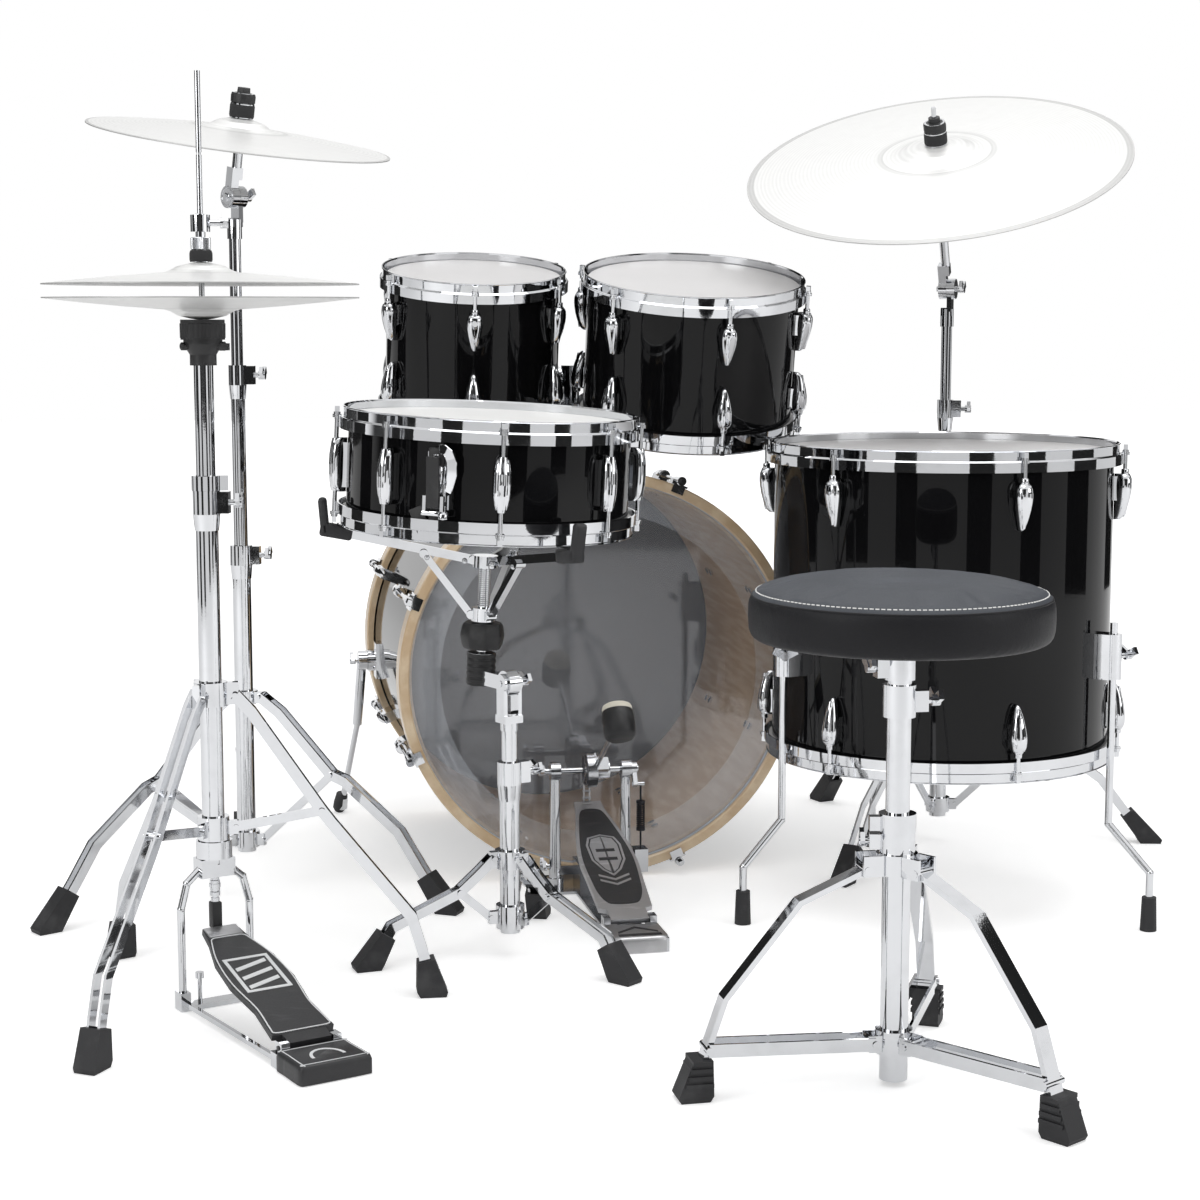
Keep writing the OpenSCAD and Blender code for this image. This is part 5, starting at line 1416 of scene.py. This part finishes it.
    def build_stand_trim(self) -> None:
        """Black clamping nut, rubbered swivel, screw thread and rivet heads of the basket."""
        hub = self.place @ shift(0, 0, self.depth - self.hub_drop)
        bm = bmesh.new()
        half = math.pi / self.nut_sides
        nut = (
            (-0.1112, 0.0236), (-0.1070, 0.0262), (-0.0955, 0.0284), (-0.0925, 0.0284), (-0.0815, 0.0262),
            (-0.0782, 0.0236),
        )
        shaped(
            bm, nut, hub, 64, lambda r, _i,
            a: r * (0.35 + 0.65 * math.cos(half) / math.cos(a % (2 * half) - half)),
        )
        for z in (-0.120, -0.128, -0.136, -0.144, -0.152):
            collar(bm, 0.0172, 0.0186, z, 0.002, hub, 32)
        turned(
            bm,
            ((0.0100, -0.1582), (0.0178, -0.1580), (0.0180, -0.1180), (0.0172, -0.1168), (0.0100, -0.1166)),
            hub, 40,
        )
        add_piece("basket_black_nut", bm, NYLON, body_of("snare_basket"), 35.0)
        bm = bmesh.new()
        top = -0.057 + self.thread_pitch * self.thread_turns
        swept(bm, helix(hub, 0.0073, -0.057, top, self.thread_turns, 16), lambda _t: 0.00095, 6)
        for a in self.arms:
            for along, up in ((0.074, 0.0035), (0.026, 0.0)):
                for side in (-1, 1):
                    rivet = hub @ about_z(a) @ shift(along, side * 0.0062, up) @ tipped(-90 * side)
                    turned(
                        bm, ((0.0035, -0.001), (0.0035, 0.0006), (0.0024, 0.0016), (0.0005, 0.0019)), rivet,
                        16,
                    )
        add_piece("basket_screw_and_rivets", bm, STEEL, body_of("snare_basket"), 50.0)

    def dress(self) -> None:
        """Gives each node its finish."""
        axis = self.place.to_3x3() @ Z_AXIS
        paint("snare_shell", shell_lacquer("snare", self.place.translation, axis, self.radius))
        paint("snare_heads", WHITE_FILM)
        paint("snare_wires", STEEL)
        paint("snare_lever", NYLON)
        paint_all(CHROME, "snare_hoops", "snare_lugs", "snare_tripod", "snare_post", "snare_basket")

    def build(self) -> None:
        """Builds and dresses the drum and its stand."""
        self.build_lugs()
        self.build_strainer()
        self.build_grips()
        self.build_stand_trim()
        self.dress()


# ---------------------------------------------------------------- hi-hat and cymbal stands


@dataclass
class HiHat:
    """Hi-hat stand with its footboard, clutch felts and seat."""

    at: Point = (-0.566, -0.497)
    facing: float = -68.8
    hinge_out: float = 0.250
    hinge_z: float = 0.022
    toe: Point = (0.008, 0.089)
    bell_top: float = 0.8672

    def build_board(self) -> None:
        """Silver edge line, black inlay and a plain banded emblem on the footboard."""
        run, rise = self.hinge_out - self.toe[0], self.toe[1] - self.hinge_z
        length, slope = math.hypot(run, rise), math.degrees(math.atan2(rise, run))
        base = shift(*self.at, 0) @ about_z(self.facing)
        place = base @ shift(self.hinge_out, 0, self.hinge_z) @ leaned(slope)
        place = place @ about_z(90)
        half = (
            (0.008, 0.017), (0.0325, 0.018), (0.0345, 0.030), (0.0318, length * 0.28),
            (0.0372, length * 0.50),
            (0.0342, length * 0.70), (0.0245, length * 0.86), (0.0195, length * 0.90),
            (0.009, length * 0.905),
        )
        outline = rounded(mirrored(half), 5)
        bm = bmesh.new()
        plate(bm, outline, 0.0069, 0.0076, place)
        add_piece("hihat_board_inlay", bm, POWDER_COAT, "hihat_footboard", 30.0)
        bm = bmesh.new()
        band(bm, outline, 0.0014, 0.0070, 0.0082, place)
        mid, w, h = length * 0.56, 0.0275, 0.037
        band(bm, oblong(w, mid - h, mid + h), 0.0042, 0.0075, 0.0082, place)
        for k in (-1, 0, 1):
            y = mid + 0.0195 * k
            stripe = (
                (-w + 0.007, y - 0.011), (w - 0.007, y + 0.002), (w - 0.007, y + 0.0085),
                (-w + 0.007, y - 0.0045),
            )
            plate(bm, stripe, 0.0075, 0.0082, place)
        add_piece("hihat_board_emblem", bm, WHITE_PAINT, "hihat_footboard", 30.0)
        bm = bmesh.new()
        toe = place @ shift(0, length - 0.0115, 0.0075)
        block(bm, (0.0415, 0.0215, 0.0028), toe, 0.0010)
        add_piece("hihat_toe_bar", bm, BRUSHED, "hihat_footboard")
        heel = base @ shift(0.315, 0, 0) @ about_z(90)
        half = (
            (0.010, -0.0056), (0.034, -0.0052), (0.0420, -0.0030), (0.0430, 0.012), (0.0424, 0.036),
            (0.0420, 0.058), (0.034, 0.0595), (0.020, 0.060),
        )
        outline = [(x, y - 0.0005) for x, y in rounded(mirrored(half), 4)]
        bm = bmesh.new()
        cushion_block(
            bm, outline, 0.03, ((1.0, 0.0006), (1.0, 0.0165), (0.97, 0.0205), (0.92, 0.0222)), heel,
        )
        add_piece("hihat_heel_casting", bm, POWDER_COAT, body_of("hihat_frame"), 45.0)
        bm = bmesh.new()
        band(bm, inset(outline, 0.0048), 0.0012, 0.0216, 0.0227, heel)
        arch = [
            (
                0.020 * math.cos(a), 0.014 + 0.026 * math.sin(a),
            ) for a in (math.pi * i / 16 for i in range(17))
        ]
        arch += [
            (
                0.0165 * math.cos(a), 0.014 + 0.0225 * math.sin(a),
            ) for a in (math.pi * i / 16 for i in range(16, -1, -1))
        ]
        plate(bm, arch, 0.0216, 0.0227, heel)
        add_piece("hihat_heel_lines", bm, WHITE_PAINT, body_of("hihat_frame"), 30.0)

    def build_linkage(self) -> None:
        """Black coupling and swivel over the lower end of the pull rod."""
        place = shift(*self.at, 0) @ about_z(self.facing)
        bm = bmesh.new()
        block(bm, (0.0135, 0.0125, 0.032), place @ shift(0, 0, 0.1085), 0.002)
        add_piece("pull_coupling", bm, NYLON, body_of("hihat_rod"))
        bm = bmesh.new()
        for z, r in ((0.127, 0.0052), (0.134, 0.0062), (0.144, 0.0068), (0.153, 0.0052)):
            collar(bm, 0.002, r, z, 0.0022, place, 24)
        add_piece("pull_swivel", bm, STEEL, body_of("hihat_rod"))

    def build_felts(self) -> None:
        """Clutch felt and knurled nut on the upper cymbal, ribbed ring under the lower one."""
        place = shift(*self.at, self.bell_top)
        bm = bmesh.new()
        turned(
            bm,
            (
                (0.0060, 0.0004), (0.0124, 0.0006), (0.0130, 0.0030), (0.0130, 0.0100), (0.0118, 0.0135),
                (0.0060, 0.0137),
            ),
            place, 40,
        )
        add_piece("clutch_felt", bm, FELT, body_of("hihat_clutch"))
        bm = bmesh.new()
        nut = ((0.0138, 0.0104), (0.0146, 0.0110), (0.0272, 0.0110), (0.0280, 0.0104))
        shaped(bm, nut, place, 96, lambda r, i, _a: r + (0.0003 if i % 2 else -0.0002))
        add_piece("clutch_knurled_nut", bm, STEEL, body_of("hihat_clutch"), 20.0)
        cup = shift(*self.at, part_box("hihat_seat_cup")[1].z)
        bm = bmesh.new()
        ring = ((-0.0215, 0.0235), (-0.0205, 0.0253), (-0.0045, 0.0255), (-0.0038, 0.0245))
        shaped(bm, ring, cup, 120, lambda r, i, _a: r + (0.00035 if i % 4 < 2 else -0.0002))
        for a, z, size in ((-20, -0.030, 0.0052), (200, -0.030, 0.0046)):
            screw = cup @ about_z(a) @ shift(0.0185, 0, z) @ leaned(90)
            turned(
                bm, ((0.002, 0.0), (size, 0.001), (size, 0.0075), (size * 0.7, 0.0085), (0.002, 0.0085)),
                screw, 20,
            )
        add_piece("seat_ribbed_ring", bm, NYLON, body_of("hihat_seat_cup"), 30.0)

    def dress(self) -> None:
        """Gives each node its finish."""
        paint_all(CHROME, "hihat_tripod", "hihat_frame", "hihat_upper_tube", "hihat_clutch")
        paint("hihat_rod", STEEL)
        paint("hihat_seat_cup", NYLON)
        paint("hihat_footboard", POWDER_COAT)

    def build(self) -> None:
        """Builds and dresses the stand."""
        self.build_board()
        self.build_linkage()
        self.build_felts()
        self.dress()


@dataclass
class CymbalStand:
    """Straight stand with a toothed tilter and a felted cymbal seat."""

    name: str
    at: Point
    hinge_z: float
    turn: float
    tilt: float
    rod: float

    def build_seat(self) -> None:
        """Felts and wing nut over the cymbal."""
        place = (
            shift(*self.at, self.hinge_z) @ about_z(self.turn)
            @ leaned(self.tilt) @ shift(0, 0, self.rod)
        )
        body = body_of(f"{self.name}_tilter")
        bm = bmesh.new()
        turned(
            bm,
            (
                (0.006, 0.0006), (0.0158, 0.0007), (0.0166, 0.0030), (0.0166, 0.0160), (0.0155, 0.0195),
                (0.006, 0.0196),
            ),
            place, 48,
        )
        turned(
            bm,
            ((0.006, -0.0155), (0.0110, -0.0154), (0.0116, -0.0140), (0.0114, -0.0036), (0.006, -0.0034)),
            place, 40,
        )
        add_piece(f"{self.name}_felts", bm, FELT, body, 45.0)
        bm = bmesh.new()
        nut = (
            (0.0198, 0.0145), (0.0206, 0.0158), (0.0290, 0.0160), (0.0325, 0.0150), (0.0336, 0.0085),
            (0.0400, 0.0080),
        )
        shaped(bm, nut, place, 72, lambda r, _i, a: r * (1 + (0.035 if math.cos(8 * a) > 0.2 else 0.0)))
        add_piece(f"{self.name}_cap_nut", bm, NYLON, body, 30.0)

    def build_ratchet(self) -> None:
        """Toothed ring and centre cap on the tilter's side."""
        place = (
            shift(*self.at, self.hinge_z) @ about_z(self.turn)
            @ leaned(self.tilt) @ tipped(90)
        )
        bm = bmesh.new()
        face = place @ shift(0, 0, 0.0112)
        torus(bm, 0.0118, 0.0008, face, 60)
        for i in range(30):
            tooth = face @ about_z(12 * i) @ shift(0.0140, 0, -0.0003)
            block(bm, (0.0022, 0.0010, 0.0012), tooth, 0.0003)
        turned(bm, ((0.0062, -0.001), (0.0060, 0.0012), (0.0046, 0.0020), (0.0008, 0.0022)), face, 28)
        add_piece(f"{self.name}_ratchet_face", bm, SATIN, body_of(f"{self.name}_tilter"), 30.0)

    def dress(self) -> None:
        """Gives each node its finish."""
        paint_all(CHROME, *(f"{self.name}_{part}" for part in ("tripod", "mid_tube", "top_tube", "tilter")))

    def build(self) -> None:
        """Builds and dresses the stand."""
        self.build_seat()
        self.build_ratchet()
        self.dress()


@dataclass
class Metalwork:
    """Rubber feet and the four cymbals."""

    tone: Triple = (0.86, 0.86, 0.85)
    polish: float = 0.30
    bell_share: float = 0.30

    def dress(self) -> None:
        """Gives each node its finish."""
        paint("rubber_feet", RUBBER)
        paint("floor_tom_legs", CHROME)
        for node in ("hihat_top_cymbal", "hihat_bottom_cymbal", "crash_cymbal", "ride_cymbal"):
            low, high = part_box(node)
            center = tuple((low + high) / 2)
            reach = (high.x - low.x) / 2
            bell = reach * self.bell_share
            paint(node, Bronze(f"{node}_metal", self.tone, self.polish, center=center, rim=reach, bell=bell))

    def build(self) -> None:
        """Dresses the feet and cymbals."""
        self.dress()


# ---------------------------------------------------------------- studio


@dataclass
class Studio:
    """Plain pale floor, white surround, soft lamps and the camera."""

    eye: Triple = (-0.640, -3.129, 0.813)
    pitch: float = 7.29
    yaw: float = -11.5
    lens: float = 67.9
    floor_gloss: float = 0.3
    flag_out: float = 4.2
    flag_high: float = 2.7
    flags: tuple[Point, ...] = (
        (-88, -72), (-137, -122), (-52, -38), (-176, -158), (-18, 2), (28, 44), (62, 74), (104, 118),
        (140, 156),
    )

    def build_world(self) -> None:
        """White to the eye; metal and gloss see a bright room with darker gaps between its panels."""
        world = bpy.data.worlds.new("studio")
        bpy.context.scene.world = world
        world.use_nodes = True
        graph = Graph(world.node_tree)
        direction = graph.node("ShaderNodeTexCoord").outputs["Generated"]
        x, y, z = graph.parts(direction)
        around = graph.math("ARCTAN2", x, y)
        panel = graph.math("SINE", around * 5.0 + 0.6) * 0.6 + graph.math("SINE", around * 3.0 + 2.0) * 0.4
        walls = panel.smooth(-0.15, 0.25)
        ceiling = z.smooth(0.45, 0.62)
        gap = z.smooth(0.24, 0.32) * (1.0 - z.smooth(0.40, 0.50))
        seen = 0.05 + walls * 0.95 + ceiling
        seen = graph.math("MINIMUM", seen, 1.0) * (1.0 - gap * 0.55)
        camera, glossy, through = graph.light_path("Camera", "Glossy", "Transmission")
        direct = graph.math("MAXIMUM", camera, through)
        strength = direct + (1.0 - direct) * (glossy * seen + (1.0 - glossy) * 0.55)
        background = graph.node(
            "ShaderNodeBackground", values={"Color": (1.0, 1.0, 1.0), "Strength": strength},
        )
        out = graph.node("ShaderNodeOutputWorld")
        world.node_tree.links.new(background.outputs[0], out.inputs["Surface"])

    def build_floor(self) -> None:
        bm = bmesh.new()
        bmesh.ops.create_grid(bm, x_segments=1, y_segments=1, size=14.0)
        floor = placed("floor", mesh_of("floor", bm))
        floor.location.z = -0.0004
        material, graph = new_material("pale_floor")
        cloud = graph.noise(0.8, 2.0)
        lit = graph.node(
            "ShaderNodeBsdfDiffuse", values={
                "Color": graph.mix(cloud, (0.90, 0.90, 0.90), (0.92, 0.92, 0.92)),
            }
        )
        camera, glossy, through = graph.light_path("Camera", "Glossy", "Transmission")
        seen = graph.math("MAXIMUM", graph.math("MAXIMUM", camera, through), glossy * self.floor_gloss)
        x, y, _z = graph.parts(graph.coords())
        far = graph.math("SQRT", x * x + y * y).smooth(1.5, 4.5)
        glow = graph.node(
            "ShaderNodeEmission", values={"Color": (1.0, 1.0, 1.0), "Strength": seen * (far * 0.4 + 0.42)}
        )
        total = graph.node("ShaderNodeAddShader", values={0: lit.outputs[0], 1: glow.outputs[0]})
        out = graph.node("ShaderNodeOutputMaterial")
        material.node_tree.links.new(total.outputs[0], out.inputs["Surface"])
        floor.data.materials.append(material)

    def build_flags(self) -> None:
        """Tall black cloths round the room, which only metal and gloss see."""
        material, graph = new_material("black_cloth")
        weave = graph.noise(40.0, 2.0)
        graph.principled(
            {"Base Color": graph.mix(weave, (0.004, 0.004, 0.004), (0.008, 0.008, 0.008)), "Roughness": 0.9}
        )
        for number, (start, end) in enumerate(self.flags):
            bm = bmesh.new()
            steps = max(2, round((end - start) / 4))
            rows = []
            for i in range(steps + 1):
                a = math.radians(start + (end - start) * i / steps)
                foot = Vector((self.flag_out * math.cos(a), self.flag_out * math.sin(a) - 0.3, 0.0))
                rows.append((bm.verts.new(foot), bm.verts.new(foot + Vector((0, 0, self.flag_high)))))
            for low, high in zip(rows, rows[1:]):
                bm.faces.new((low[0], high[0], high[1], low[1]))
            flag = placed(f"flag_{number}", mesh_of(f"flag_{number}", bm))
            flag.data.materials.append(material)
            flag.visible_camera = False
            flag.visible_diffuse = False
            flag.visible_shadow = False
            flag.visible_transmission = False

    def add_lamp(self, name: str, place: Triple, size: float, power: float) -> None:
        lamp = bpy.data.lights.new(name, "AREA")
        lamp.shape = "SQUARE"
        lamp.size = size
        lamp.energy = power
        made = placed(name, lamp)
        made.location = place
        aim = Vector((0.0, -0.2, 0.45)) - Vector(place)
        made.rotation_euler = aim.to_track_quat("-Z", "Y").to_euler()

    def build_camera(self) -> None:
        """Camera behind the throne, a little to the player's left."""
        lens = bpy.data.cameras.new("camera")
        lens.lens = self.lens
        lens.sensor_width = 36.0
        made = placed("camera", lens)
        made.location = self.eye
        made.rotation_euler = (math.radians(90 - self.pitch), 0.0, math.radians(self.yaw))
        bpy.context.scene.camera = made

    def build(self) -> None:
        """Builds the room, the lamps and the camera."""
        self.build_world()
        self.build_floor()
        self.build_flags()
        self.add_lamp("overhead", (0.3, -0.6, 3.6), 3.0, 62.0)
        self.add_lamp("left_panel", (-3.2, -2.2, 1.8), 1.6, 28.0)
        self.add_lamp("right_panel", (3.0, -2.6, 1.6), 1.6, 20.0)
        self.build_camera()
        bpy.context.scene.view_settings.view_transform = "Standard"


def main() -> None:
    """Builds every sub-assembly in order."""
    logging.basicConfig(level=logging.INFO, format="%(message)s")
    Studio().build()
    BassDrum().build()
    BassPedal().build()
    drums = (
        LugDrum(
            "tom10", "tom10", (-0.155, 0.177, 0.864), 0.254, 0.203, 6, -97.5, tilt=11.0, lug_length=0.056,
        ),
        LugDrum(
            "tom12", "tom12", (0.148, 0.067, 0.854), 0.3048, 0.203, 6, -85.5, tilt=12.5, lug_length=0.056,
        ),
        LugDrum(
            "floor_tom", "floor_tom", (0.433, -0.199, 0.6264), 0.4572, 0.4064, 6, -85.0, lug_length=0.062,
        ),
    )
    for drum in drums:
        drum.build()
    Snare().build()
    HiHat().build()
    CymbalStand("crash", (-0.506, 0.012), 0.965, -56.5, 11.0, 0.104 / math.cos(math.radians(11.0))).build()
    CymbalStand("ride", (0.555, 0.128), 0.845, -122.0, 25.5, 0.230).build()
    Metalwork().build()
    Throne().build()


if __name__ == "__main__":
    main()
